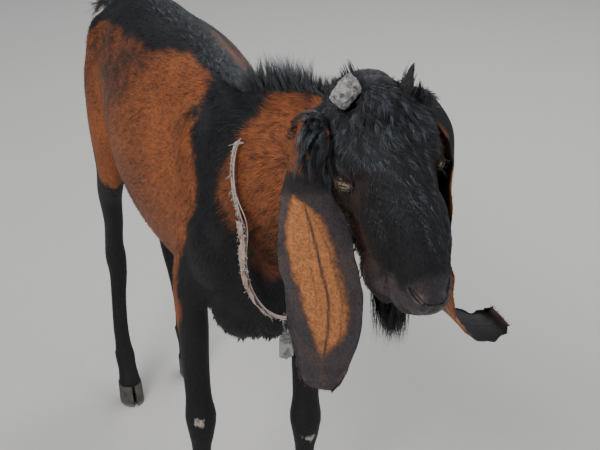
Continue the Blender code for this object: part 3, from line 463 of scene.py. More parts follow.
def softened(obj, passes, weights):
    """The object with its bumps evened out, by a weight from 0 to 1 for each point."""
    group = obj.vertex_groups.new(name="soften")
    steps = np.round(weights * 20).astype(int)
    for step in range(1, 21):
        group.add(np.flatnonzero(steps == step).tolist(), step / 20, "REPLACE")
    even = obj.modifiers.new("Even", "SMOOTH")
    even.factor = 0.5
    even.iterations = passes
    even.vertex_group = group.name
    applied(obj)
    obj.vertex_groups.clear()
    return obj


def cut(obj, other, operation="DIFFERENCE"):
    """The object less the other, or joined with it, and the other removed."""
    knife = obj.modifiers.new("Cut", "BOOLEAN")
    knife.operation = operation
    knife.object = other
    knife.solver = "MANIFOLD"
    applied(obj)
    remove([other])
    return obj


def tree_of(mesh):
    """The outside of a mesh, for finding places on it."""
    shape = bmesh.new()
    shape.from_mesh(mesh)
    tree = BVHTree.FromBMesh(shape)
    shape.free()
    return tree


def head_matrix():
    """From the head's own places (left, towards the neck, up off the nose) to the stance."""
    return Matrix.Translation(POLL) @ HEAD_TURN.to_matrix().to_4x4()


def head_point(across, along, up):
    """A place on the head: across to its left, along from the poll to the lips, up off the nose line."""
    return head_matrix() @ Vector((across, -along, up))


def head_way(across, along, up):
    """A direction on the head, in the stance."""
    return head_matrix().to_3x3() @ Vector((across, -along, up))


def head_local(points):
    """Frame places as the head's own places: across, along and up."""
    turn = np.array(head_matrix().to_3x3())
    local = (points - np.array(POLL + SHIFT)) @ turn
    return local * (1, -1, 1)


def head_ways(local):
    """The head's own directions as frame directions, row by row."""
    return (local * (1, -1, 1)) @ np.array(head_matrix().to_3x3()).T


def trunk_pieces():
    """Chest, ribs, loin and rump as one tube, with the masses that stand out on it."""
    rows = []
    stations = (
        (0.000, CHEST_FRONT, 0.665, 0.525, 0.040, 0.05),
        (0.000, CHEST_FRONT + 0.030, 0.720, CHEST_FLOOR + 0.010, 0.070, 0.06),
        (0.000, 0.000, WITHERS_HEIGHT - 0.040, CHEST_FLOOR - 0.008, CHEST_HALF - 0.012, 0.10),
        (0.002, 0.070, WITHERS_HEIGHT - 0.005, CHEST_FLOOR - 0.006, CHEST_HALF, 0.14),
        (0.005, 0.150, WITHERS_HEIGHT, CHEST_FLOOR - 0.004, RIB_HALF - 0.012, 0.12),
        (0.009, 0.250, WITHERS_HEIGHT + 0.002, BELLY_FLOOR, RIB_HALF, 0.06),
        (0.012, 0.350, CROUP_HEIGHT - 0.006, BELLY_FLOOR + 0.006, RIB_HALF + 0.001, 0.02),
        (0.011, 0.430, CROUP_HEIGHT, BELLY_FLOOR + 0.038, RIB_HALF - 0.012, 0.03),
        (0.007, 0.510, CROUP_HEIGHT, BELLY_FLOOR + 0.090, RUMP_HALF + 0.010, 0.08),
        (0.003, 0.580, CROUP_HEIGHT - 0.014, BELLY_FLOOR + 0.120, RUMP_HALF - 0.004, 0.12),
        (0.000, 0.640, CROUP_HEIGHT - 0.046, BELLY_FLOOR + 0.150, RUMP_HALF - 0.018, 0.14),
        (0.000, RUMP_END, CROUP_HEIGHT - 0.090, BELLY_FLOOR + 0.190, 0.040, 0.10),
    )
    for across, along, top, bottom, half, narrowing in stations:
        rows.append((across, along, (top + bottom) / 2, half, (top - bottom) / 2, narrowing))
    pieces = [loft("trunk", rows, (1, 0, 0), around=36)]
    for side in (-1, 1):
        pieces += [
            ball("blade", (side * 0.054, 0.066, 0.665), (0.038, 0.080, 0.120)),
            ball("shoulder", (side * 0.064, -0.010, 0.590), (0.038, 0.060, 0.070)),
            ball("hip", (side * 0.058 + 0.006, 0.475, 0.758), (0.028, 0.046, 0.028)),
            ball("rump", (side * 0.048, 0.575, 0.700), (0.044, 0.085, 0.080)),
            ball("pin", (side * 0.034, 0.655, 0.705), (0.020, 0.026, 0.028)),
            ball("testis", (side * 0.013, 0.588, 0.492), (0.017, 0.019, 0.032)),
        ]
    pieces.append(ball("breast", (0.0, -0.052, 0.535), (0.050, 0.056, 0.080)))
    pieces += [ball("brisket", (side * 0.036, -0.020, 0.498), (0.040, 0.062, 0.046)) for side in (-1, 1)]
    pouch = ((0.0, 0.588, 0.500), (0.0, 0.580, 0.545), (0.0, 0.570, 0.600))
    pieces.append(loft("pouch", [(*place, 0.020, 0.016, 0.0) for place in pouch], (1, 0, 0), around=14))
    sheath = ((0.006, 0.300, 0.452), (0.007, 0.345, 0.446), (0.008, 0.420, 0.462), (0.006, 0.500, 0.520))
    pieces.append(loft("sheath", [(*place, 0.013, 0.014, 0.0) for place in sheath], (1, 0, 0), around=12))
    return pieces


def neck_piece():
    """The neck's tube, from inside the chest to the back of the head."""
    rows = (
        (0.000, 0.110, 0.660, 0.062, 0.125, 0.20),
        (0.002, 0.020, 0.672, 0.070, 0.125, 0.22),
        (0.008, -0.070, 0.700, 0.064, 0.112, 0.24),
        (0.018, -0.150, 0.745, 0.054, 0.092, 0.22),
        (0.030, -0.220, 0.795, 0.049, 0.074, 0.16),
        (*head_point(0, 0.010, -0.062), 0.047, 0.062, 0.06),
        (*head_point(0, 0.030, -0.068), 0.045, 0.050, 0.0),
    )
    return loft("neck", rows, (1, 0, 0), around=28)


def front_leg_pieces(foot):
    """One front leg from the shoulder to the coronet."""
    across, along = FEET[foot]
    side = math.copysign(1, across)
    elbow = side * 0.082
    rows = (
        (side * 0.066, 0.040, 0.590, 0.036, 0.062),
        (side * 0.074, 0.052, 0.530, 0.034, 0.056),
        (elbow, 0.6 * along + 0.026, ELBOW_HEIGHT, 0.0285, 0.043),
        (elbow, 0.75 * along + 0.014, 0.430, 0.0245, 0.0320),
        (0.4 * elbow + 0.6 * across, along + 0.004, 0.365, 0.0225, 0.0260),
        (0.2 * elbow + 0.8 * across, along, KNEE_HEIGHT + 0.040, 0.0220, 0.0230),
        (across, along - 0.004, KNEE_HEIGHT + 0.006, 0.0260, 0.0275),
        (across, along - 0.002, KNEE_HEIGHT - 0.028, 0.0215, 0.0235),
        (across, along + 0.002, KNEE_HEIGHT - 0.060, 0.0165, 0.0190),
        (across, along + 0.004, 0.150, 0.0160, 0.0185),
        (across, along + 0.004, FETLOCK_HEIGHT + 0.022, 0.0170, 0.0190),
        (across, along + 0.002, FETLOCK_HEIGHT, 0.0210, 0.0215),
        (across, along - 0.008, 0.064, 0.0200, 0.0195),
        (across, along - 0.016, CORONET_HEIGHT, 0.0225, 0.0235),
        (across, along - 0.020, CORONET_HEIGHT - 0.020, 0.0225, 0.0240),
    )
    leg = loft("leg", [(*row, 0.0) for row in rows], (-1, 0, 0), around=20)
    back_of_knee = ball("pisiform", (across, along + 0.018, KNEE_HEIGHT + 0.016), (0.011, 0.012, 0.018))
    return [leg, back_of_knee, *dewclaws(across, along + 0.020, FETLOCK_HEIGHT - 0.006)]


def hind_leg_pieces(foot):
    """One hind leg from the hip to the coronet."""
    across, along = FEET[foot]
    side = math.copysign(1, across)
    fetlock = along + HIND_FETLOCK_BACK
    hock = along + 0.076
    hock_across = 0.87 * across
    rows = (
        (side * 0.046, 0.575, 0.720, 0.040, 0.080),
        (side * 0.058, 0.580, 0.660, 0.040, 0.086),
        (side * 0.066, 0.575, 0.600, 0.037, 0.080),
        (side * 0.071, 0.560, 0.550, 0.033, 0.068),
        (side * 0.072, 0.560 + 0.3 * (along - 0.54), STIFLE_HEIGHT, 0.028, 0.050),
        (side * 0.070, 0.590 + 0.5 * (along - 0.54), 0.430, 0.0235, 0.035),
        (hock_across, hock - 0.012, 0.365, 0.0195, 0.027),
        (hock_across, hock - 0.002, HOCK_HEIGHT + 0.034, 0.0180, 0.030),
        (hock_across, hock - 0.004, HOCK_HEIGHT, 0.0210, 0.029),
        (hock_across, hock - 0.012, HOCK_HEIGHT - 0.035, 0.0185, 0.0220),
        (0.5 * (hock_across + across), hock - 0.020, 0.205, 0.0160, 0.0180),
        (across, fetlock + 0.012, 0.150, 0.0160, 0.0180),
        (across, fetlock + 0.004, FETLOCK_HEIGHT + 0.022, 0.0170, 0.0185),
        (across, fetlock - 0.002, FETLOCK_HEIGHT, 0.0205, 0.0210),
        (across, fetlock - 0.014, 0.064, 0.0195, 0.0190),
        (across, fetlock - 0.024, CORONET_HEIGHT, 0.0225, 0.0235),
        (across, fetlock - 0.028, CORONET_HEIGHT - 0.020, 0.0225, 0.0240),
    )
    leg = loft("leg", [(*row, 0.0) for row in rows], (-1, 0, 0), around=20)
    heel = ball("heel", (hock_across, hock + 0.020, HOCK_HEIGHT + 0.030), (0.012, 0.013, 0.022))
    cord = loft(
        "hamstring",
        [
            (hock_across, hock + 0.022, HOCK_HEIGHT + 0.030, 0.007, 0.007, 0),
            (side * 0.070, hock + 0.020, 0.380, 0.007, 0.007, 0),
            (side * 0.071, 0.630, 0.450, 0.013, 0.013, 0),
            (side * 0.070, 0.622, 0.530, 0.014, 0.014, 0),
            (side * 0.068, 0.612, 0.590, 0.010, 0.010, 0),
        ],
        (1, 0, 0),
        around=12,
    )
    web = ball("web", (hock_across, hock + 0.004, HOCK_HEIGHT + 0.062), (0.010, 0.022, 0.038))
    return [leg, heel, cord, web, *dewclaws(across, fetlock + 0.017, FETLOCK_HEIGHT - 0.006)]


def dewclaws(across, along, height):
    """The pair of small claws behind a fetlock."""
    return [
        ball("dewclaw", (across + side * 0.011, along, height), (0.0065, 0.009, 0.010)) for side in (-1, 1)
    ]


def head_pieces():
    """Skull, jaw and muzzle as one tube, with the brows, cheeks and lips that stand out on it."""
    stations = (
        (-0.040, -0.034, -0.096, 0.034, 0.0),
        (-0.025, -0.012, -0.112, 0.046, 0.0),
        (0.005, 0.003, -0.124, 0.052, 0.04),
        (0.040, 0.011, -0.128, BROW_HALF - 0.002, 0.04),
        (0.075, 0.015, -0.124, BROW_HALF - 0.003, 0.02),
        (0.110, 0.017, -0.110, 0.050, 0.06),
        (0.145, 0.014, -0.096, 0.0425, 0.10),
        (0.180, 0.005, -0.088, 0.0370, 0.10),
        (0.210, -0.008, -0.083, 0.0345, 0.08),
        (0.234, -0.022, -0.080, 0.0295, 0.06),
        (0.250, -0.038, -0.074, 0.0200, 0.0),
    )
    rows = []
    for along, top, bottom, half, narrowing in stations:
        rows.append((*head_point(0, along, (top + bottom) / 2), half, (top - bottom) / 2, narrowing))
    turn = head_matrix().to_3x3()
    pieces = [loft("skull", rows, head_way(1, 0, 0), around=32)]
    masses = (
        (0.036, 0.050, -0.012, (0.026, 0.042, 0.014)),
        (0.040, 0.100, -0.052, (0.013, 0.040, 0.014)),
        (0.032, 0.060, -0.098, (0.025, 0.052, 0.040)),
        (0.034, 0.140, -0.042, (0.017, 0.060, 0.032)),
        (0.0, 0.128, -0.104, (0.031, 0.072, 0.032)),
        (0.024, 0.132, -0.110, (0.022, 0.048, 0.025)),
        (0.026, 0.184, -0.109, (0.023, 0.042, 0.026)),
        (0.017, 0.213, -0.064, (0.0215, 0.037, 0.027)),
        (0.0, 0.238, -0.054, (0.0250, 0.020, 0.026)),
        (0.0, 0.212, -0.088, (0.0300, 0.034, 0.021)),
        (0.013, 0.240, -0.034, (0.0120, 0.014, 0.014)),
        (0.0, 0.010, -0.004, (0.040, 0.036, 0.020)),
        (*EYE_PLACE, (LID_RADIUS, LID_RADIUS, LID_RADIUS)),
        (0.050, 0.066, -0.020, (0.015, 0.024, 0.009)),
    )
    for across, along, up, radii in masses:
        for side in (-1, 1) if across else (1,):
            lean = 0.72 if side > 0 and along > 0.2 else 1.0
            pieces.append(ball("mass", head_point(side * lean * across, along, up), radii, turn))
    for side in (-1, 1):
        bed = (
            (*head_point(side * 0.030, 0.002, -0.040), 0.026, 0.022, 0),
            (*head_point(side * 0.052, 0.004, -0.044), 0.023, 0.019, 0),
            (*head_point(side * 0.064, 0.006, -0.050), 0.020, 0.016, 0),
        )
        pieces.append(loft("ear_bed", bed, head_way(0, 1, 0), around=16))
    return pieces


def ear_rows(side):
    """The ear's middle line from inside the head to the tip: place, half width, half thickness, bend, chord."""
    if side < 0:
        free = (
            (-0.032, -0.287, 0.874, 0.0220, 0.0075, 0.012, (0.30, -0.95, 0)),
            (-0.043, -0.296, 0.848, 0.0240, 0.0050, 0.015, (0.55, -0.83, 0)),
            (-0.047, -0.301, 0.814, 0.0260, 0.0032, 0.014, (0.70, -0.71, 0)),
            (-0.046, -0.303, 0.785, 0.0330, EAR_THICK, 0.013, (0.75, -0.66, 0)),
            (-0.040, -0.304, 0.745, 0.0445, EAR_THICK, 0.012, (0.75, -0.66, 0)),
            (-0.034, -0.305, 0.700, 0.0500, EAR_THICK, 0.010, (0.75, -0.66, 0)),
            (-0.027, -0.305, 0.655, 0.0500, EAR_THICK, 0.008, (0.75, -0.66, 0)),
            (-0.023, -0.303, 0.612, 0.0470, EAR_THICK, 0.006, (0.77, -0.64, 0)),
            (-0.024, -0.300, 0.572, 0.0380, EAR_THICK, 0.005, (0.80, -0.60, 0)),
            (-0.025, -0.298, 0.542, 0.0305, EAR_THICK, 0.003, (0.80, -0.60, 0)),
            (-0.026, -0.297, 0.524, 0.0180, EAR_THICK, 0.001, (0.80, -0.60, 0)),
        )
    else:
        free = (
            (0.131, -0.290, 0.866, 0.0200, 0.0065, 0.012, (0.10, 0.99, 0)),
            (0.143, -0.296, 0.842, 0.0240, 0.0050, 0.014, (0.00, 1.00, 0)),
            (0.142, -0.302, 0.811, 0.0260, 0.0032, 0.013, (-0.05, 1.00, 0)),
            (0.130, -0.310, 0.780, 0.0340, EAR_THICK, 0.012, (-0.10, 0.99, 0)),
            (0.124, -0.316, 0.735, 0.0440, EAR_THICK, 0.010, (-0.10, 0.99, 0)),
            (0.120, -0.318, 0.690, EAR_HALF, EAR_THICK, 0.008, (-0.10, 0.99, 0)),
            (0.122, -0.318, 0.650, EAR_HALF, EAR_THICK, 0.006, (-0.10, 0.99, 0)),
            (0.135, -0.316, 0.612, 0.0460, EAR_THICK, 0.005, (-0.10, 0.99, 0)),
            (0.158, -0.313, 0.584, 0.0370, EAR_THICK, 0.004, (-0.10, 0.97, 0.20)),
            (0.189, -0.310, 0.567, 0.0290, EAR_THICK, 0.003, (-0.10, 0.94, 0.32)),
            (0.213, -0.309, 0.562, 0.0270, EAR_THICK, 0.002, (-0.10, 0.94, 0.32)),
            (0.227, -0.308, 0.566, 0.0190, EAR_THICK, 0.001, (-0.10, 0.94, 0.32)),
        )
    rows = [
        (*head_point(side * 0.046, 0.002, -0.044), 0.0170, 0.0150, 0.0),
        (*head_point(side * 0.064, 0.004, -0.038), 0.0190, 0.0120, 0.003),
    ]
    chords = [(0.10, 0.99 * side, 0), (0.20, 0.98 * side, 0)]
    return rows + [row[:6] for row in free], chords + [row[6] for row in free]


def horn_rows(side, grow=1.0):
    """A horn stub's line, from inside the skull to its blunt tip."""
    size = grow if side < 0 else 0.85 * grow
    out = 0.0 if side < 0 else 0.006
    stations = (
        (0.022, 0.004, -0.022, 0.0140),
        (0.029, -0.002, -0.006, 0.0165),
        (0.033, -0.007, 0.006, 0.0155),
        (0.035, -0.014, 0.015, 0.0130),
        (0.036, -0.019, 0.021, 0.0100),
        (0.035, -0.021, 0.024, 0.0050),
    )
    return [
        (*head_point(side * (across + out), along, up), size * radius, size * 1.12 * radius, 0.0)
        for across, along, up, radius in stations
    ]


def tail_piece():
    """The short tail's dock, held out behind, without its long hair."""
    rows = (
        (0.0, RUMP_END - 0.050, CROUP_HEIGHT - 0.085, 0.024, 0.018, 0),
        (0.0, RUMP_END + 0.010, CROUP_HEIGHT - 0.078, 0.021, 0.015, 0),
        (0.0, RUMP_END + 0.050, CROUP_HEIGHT - 0.078, 0.019, 0.012, 0),
        (0.0, RUMP_END + 0.085, CROUP_HEIGHT - 0.088, 0.015, 0.010, 0),
        (0.0, RUMP_END + 0.108, CROUP_HEIGHT - 0.104, 0.006, 0.005, 0),
    )
    return loft("tail", rows, (1, 0, 0), around=16)


def beard_piece():
    """The chin's flesh that the beard grows from."""
    rows = (
        (0.054, -0.330, 0.735, 0.023, 0.017, 0),
        (0.050, -0.334, 0.705, 0.022, 0.014, 0),
        (0.047, -0.336, 0.682, 0.015, 0.010, 0),
        (0.046, -0.336, 0.670, 0.005, 0.004, 0),
    )
    return loft("beard", rows, (0.93, -0.38, 0), around=14)


def crest_piece():
    """The ridge along the neck's top, which the crest's hair grows from."""
    rows = (
        (0.004, 0.150, 0.794, 0.014, 0.016, 0),
        (0.004, 0.080, 0.800, 0.018, 0.020, 0),
        (0.006, 0.010, 0.804, 0.020, 0.026, 0),
        (0.010, -0.060, 0.814, 0.020, 0.030, 0),
        (0.018, -0.120, 0.830, 0.019, 0.031, 0),
        (0.026, -0.180, 0.848, 0.016, 0.028, 0),
        (0.033, -0.225, 0.866, 0.011, 0.018, 0),
    )
    return loft("crest", rows, (1, 0, 0), around=14)


def trimmed(obj, place, way):
    """The part of the object on the far side of a plane, closed there."""
    shape = bmesh.new()
    shape.from_mesh(obj.data)
    flat = bmesh.ops.bisect_plane(
        shape,
        geom=shape.verts[:] + shape.edges[:] + shape.faces[:],
        plane_co=place,
        plane_no=way,
        clear_inner=True,
        dist=1e-6,
    )
    rim = [part for part in flat["geom_cut"] if isinstance(part, bmesh.types.BMEdge)]
    bmesh.ops.holes_fill(shape, edges=rim, sides=0)
    shape.to_mesh(obj.data)
    shape.free()
    return obj


def thinned(obj, ratio):
    """The object with its faces brought down to a share."""
    fewer = obj.modifiers.new("Fewer", "DECIMATE")
    fewer.ratio = ratio
    fewer.use_collapse_triangulate = True
    return applied(obj)


HEAD_CUT = (head_point(0, -0.050, -0.040), head_way(0, 0.674, 0.739))
NECK_CUT = (Vector((0, 0.020, 0.830)), Vector((0, -0.894, 0.447)))


def past(points, cut_plane):
    """How far frame places lie beyond a plane that parts the body."""
    place, way = cut_plane
    return (points - np.array(place + SHIFT)) @ np.array(way)


def clouds(points, size, seed=0):
    """Smooth noise from 0 to 1, in lumps of about the given size."""
    place = points / size + 17.3 * seed
    cell = np.floor(place).astype(np.int64)
    t = place - cell
    t = t * t * (3 - 2 * t)
    total = np.zeros(len(points))
    for corner in np.ndindex(2, 2, 2):
        key = (cell + corner) * (73856093, 19349663, 83492791)
        mixed = (key[:, 0] ^ key[:, 1] ^ key[:, 2]) & 0xFFFFFF
        value = ((mixed * 2654435761) & 0xFFFFFFFF) / 2**32
        total += value * np.where(np.array(corner) == 1, t, 1 - t).prod(axis=1)
    return total


def inside(across, up, outline):
    """How far inside an outline each place of a side view lies, in metres, and less than 0 outside."""
    place = np.stack([across, up], -1)
    corners = np.array(outline, float)
    near = np.full(len(place), 9.0)
    odd = np.zeros(len(place), bool)
    for a, b in zip(corners, np.roll(corners, -1, axis=0)):
        line = b - a
        t = np.clip((place - a) @ line / (line @ line), 0, 1)
        near = np.minimum(near, np.linalg.norm(place - a - t[:, None] * line, axis=1))
        crosses = (a[1] > place[:, 1]) != (b[1] > place[:, 1])
        at = a[0] + (place[:, 1] - a[1]) / (line[1] if abs(line[1]) > 1e-9 else 1e-9) * line[0]
        odd ^= crosses & (place[:, 0] < at)
    return np.where(odd, near, -near)


# Side views of the coat's marks, as (along, up) outlines in the frame.
FLANK = (
    (-0.082, 0.806), (-0.104, 0.799), (-0.122, 0.787), (-0.152, 0.765), (-0.174, 0.736), (-0.185, 0.700),
    (-0.194, 0.650), (-0.172, 0.613), (-0.169, 0.585), (-0.166, 0.560), (-0.158, 0.520), (-0.152, 0.470),
    (-0.140, 0.430), (-0.100, 0.430), (-0.080, 0.440), (0.150, 0.445), (0.230, 0.478), (0.300, 0.470),
    (0.346, 0.482), (0.370, 0.540), (0.430, 0.560), (0.505, 0.600), (0.510, 0.700), (0.470, 0.742),
    (0.395, 0.748), (0.347, 0.772), (0.250, 0.782), (0.135, 0.790), (0.077, 0.790), (0.050, 0.805), (-0.006, 0.810),
)
THROAT = (
    (-0.266, 0.808), (-0.260, 0.790), (-0.258, 0.765), (-0.245, 0.733), (-0.236, 0.708), (-0.245, 0.683),
    (-0.256, 0.665), (-0.266, 0.645), (-0.280, 0.615), (-0.288, 0.590), (-0.300, 0.570), (-0.360, 0.580),
    (-0.420, 0.700), (-0.440, 0.830), (-0.400, 0.872), (-0.371, 0.869), (-0.332, 0.870), (-0.290, 0.856),
    (-0.280, 0.835),
)
HAZE = ((0.050, 0.800), (0.330, 0.800), (0.375, 0.730), (0.300, 0.690), (0.200, 0.672), (0.100, 0.715))


def ear_places(points, side):
    """Where places lie on an ear: share of the way down, across from rear (-1) to front (1), and off its sheet in metres."""
    table, wide, deep, along = loft_frames(*ear_rows(side), 8)
    centres = table[:, :3] + np.array(SHIFT)
    low, high = centres.min(0) - 0.06, centres.max(0) + 0.06
    near = np.flatnonzero(((points > low) & (points < high)).all(axis=1))
    down, over, off = (np.full(len(points), value) for value in (-1.0, 9.0, 9.0))
    for group in np.array_split(near, max(1, len(near) // 20000)):
        away = points[group][:, None] - centres
        row = np.linalg.norm(away, axis=-1).argmin(axis=1)
        step = points[group] - centres[row]
        half = table[row, 3]
        across = (step * wide[row]).sum(-1) / half
        at = (
            row
            + 0.5 * np.sign((step * along[row]).sum(-1)) * np.minimum(1, np.abs((step * along[row]).sum(-1)) / 0.003)
        )
        down[group] = np.clip(at / (len(table) - 1), 0, 1)
        over[group] = -side * across
        off[group] = (step * deep[row]).sum(-1) - table[row, 5] * across**2
    on = (np.abs(over) < 1.10) & (np.abs(off) < 0.009) & (down > 0.13)
    return on, down, over, off


def main_vein(down):
    """Where the ear's main vein runs across it."""
    return np.interp(down, (0.38, 0.47, 0.54, 0.60, 0.67, 0.71, 0.86), (-0.02, 0.08, 0.13, 0.16, 0.21, 0.16, 0.06))


def branches(down, over):
    """The ear's finer veins: two beside the main one, and one that crosses it low down."""
    beside = np.exp(
        -(((over - main_vein(down) - np.interp(down, (0.42, 0.55, 0.80), (0.10, 0.30, 0.34))) / 0.026) ** 2)
    )
    rear = np.exp(-(((over - main_vein(down) + np.interp(down, (0.46, 0.60, 0.84), (0.06, 0.26, 0.40))) / 0.024) ** 2))
    across = np.exp(-(((down - 0.690 - 0.030 * over**2 + 0.012 * over) / 0.0035) ** 2)) * smoothstep(-0.60, -0.35, over)
    return (beside + 0.6 * rear) * smoothstep(0.42, 0.50, down) * smoothstep(0.88, 0.76, down), across


def ear_marks(down, over, points, side):
    """How orange, how leathery and how brown an ear is at each place."""
    edge = 0.10 * (clouds(points, 0.012, 3) - 0.5) + 0.10 * (clouds(points, 0.0035, 13) - 0.5)
    rear = np.interp(
        down, (0.36, 0.40, 0.50, 0.62, 0.70, 0.76, 0.82, 0.90), (-0.2, -0.58, -0.80, -0.66, -0.56, -0.44, -0.24, 0.1)
    )
    front = np.interp(
        down, (0.375, 0.406, 0.43, 0.46, 0.49, 0.57, 0.63, 0.71, 0.75, 0.79, 0.83, 0.87), (
            -0.4, -0.10, 0.30, 0.48, 0.56, 0.64, 0.69, 0.74, 0.68, 0.54, 0.28, 0.0
        )
    )
    body = smoothstep(-0.08, 0.18, over - rear + edge) * smoothstep(-0.14, 0.26, front - over + edge)
    body *= smoothstep(0.355, 0.420, down + 0.3 * edge) * smoothstep(0.93, 0.76, down + 0.4 * edge)
    vein = np.exp(-(((over - main_vein(down)) / (0.030 + 0.05 * edge)) ** 2)) * smoothstep(0.38, 0.46, down)
    side_veins, across = branches(down, over)
    if side > 0:
        strip = smoothstep(0.72, 0.84, over + edge) * smoothstep(0.335, 0.355, down) * smoothstep(0.450, 0.435, down)
        patch = (
            smoothstep(-0.05, 0.20, over + edge) * smoothstep(0.535, 0.565, down)
            * smoothstep(0.775, 0.715, down + 0.3 * edge)
        )
        low = smoothstep(0.72, 0.64, down + 0.2 * edge)
        body = np.maximum(body * low, np.maximum(strip, patch))
    orange = body * np.clip(1 - 0.75 * vein - 0.30 * side_veins, 0, 1)
    top = smoothstep(0.335, 0.300, down + 0.2 * edge)
    behind = smoothstep(0.10, -0.10, over - np.interp(down, (0.13, 0.20, 0.26, 0.31), (0.0, 0.20, 0.35, 0.60)) + edge)
    rim = smoothstep(0.90, 0.97, over) * smoothstep(0.16, 0.19, down) * smoothstep(0.26, 0.23, down)
    tan = np.maximum(0.66 * top * behind * smoothstep(0.14, 0.19, down), 0.5 * rim)
    dark = smoothstep(0.30, 0.345, down) * smoothstep(0.42, 0.37, down)
    leather = np.clip(1 - orange - tan - 0.7 * dark, 0, 1) * smoothstep(0.30, 0.36, down)
    if side > 0:
        leather = leather * (1 - 0.75 * smoothstep(0.70, 0.78, down))
    pale = smoothstep(0.945, 1.0, down) * (0.35 if side < 0 else 0.12)
    return np.clip(orange + 0.25 * across * leather, 0, 1) + pale, leather, tan


def ear_sheet(side):
    """An ear with raised veins, a cross fold, wavy edges and a curled lower rim."""
    rows, chords = ear_rows(side)
    around, steps = 128, 18
    obj = loft("ear", rows, chords, steps=steps, around=around, bend=True)
    table, wide, deep, _ = loft_frames(rows, chords, steps)
    points = places_of(obj.data).reshape(len(table), around, 3)
    down = np.linspace(0, 1, len(table))[:, None]
    turn = np.linspace(0, 2 * math.pi, around, endpoint=False)[None]
    over = -side * np.cos(turn) + 0 * down
    outer = np.where(np.sin(turn) < 0, 1.0, 0.0)
    free = smoothstep(0.33, 0.48, down)
    side_veins, across = branches(down, over)
    vein = np.exp(-(((over - main_vein(down)) / 0.030) ** 2)) * free
    raised = 0.0009 * vein + 0.0005 * side_veins + 0.0006 * across
    wave = 0.0032 * np.sin(2 * math.pi * (5.3 * down + 0.2)) * np.abs(over) ** 3
    wave = (wave + 0.0014 * np.sin(2 * math.pi * (14 * down + 0.4 * over)) * np.abs(over) ** 5) * free
    rolled = (
        0.0045 * smoothstep(0.90, 1.0, down)
        + 0.0035 * smoothstep(0.86, 1.0, np.abs(over)) * smoothstep(0.62, 0.8, down)
    )
    shift = -raised * outer - wave - rolled
    points += deep[:, None] * shift[:, :, None]
    notch = (
        (0.03 if side < 0 else 0.12) * np.sin(2 * math.pi * 9 * down) * smoothstep(0.80, 0.92, down)
        * smoothstep(0.4, 0.9, np.abs(over))
    )
    points -= wide[:, None] * (table[:, 3][:, None] * np.cos(turn) * np.abs(notch))[:, :, None]
    set_places(obj.data, points.reshape(-1, 3))
    return obj


# The nostril's line from its rear end to the middle of the nose, and the right half of the mouth, on the head's left.
NOSTRIL = (
    (0.0255, 0.2224, -0.0236), (0.0241, 0.2262, -0.0243), (0.0227, 0.2299, -0.0251), (0.0209, 0.2352, -0.0248),
    (0.0193, 0.2396, -0.0226), (0.0173, 0.2439, -0.0220), (0.0143, 0.2458, -0.0219), (0.0109, 0.2477, -0.0231),
    (0.0060, 0.2486, -0.0268), (0.0, 0.2492, -0.0300),
)
MOUTH = (
    (0.0360, 0.188, -0.0740), (0.0375, 0.199, -0.0690), (0.0380, 0.208, -0.0650), (0.0379, 0.2163, -0.0610),
    (0.0365, 0.2247, -0.0580), (0.0336, 0.2331, -0.0562), (0.0297, 0.2401, -0.0561), (0.0249, 0.2458, -0.0579),
    (0.0180, 0.2520, -0.0600), (0.0090, 0.2560, -0.0615), (0.0, 0.2570, -0.0620),
)
# Pale calluses on the front legs: place and half sizes in the frame.
CALLUSES = (
    (-0.146, -0.170, 0.276, 0.009, 0.020, 0.010), (0.013, -0.234, 0.244, 0.010, 0.016, 0.007),
)


def bare_nose(local):
    """Where the nose and lips are bare leather, from 0 to 1, at places on the head."""
    _, along, up = local.T
    end = smoothstep(0.212, 0.226, along)
    lips = smoothstep(0.186, 0.200, along) * smoothstep(-0.030, -0.044, up)
    return np.maximum(end, lips) * smoothstep(-0.100, -0.092, up)


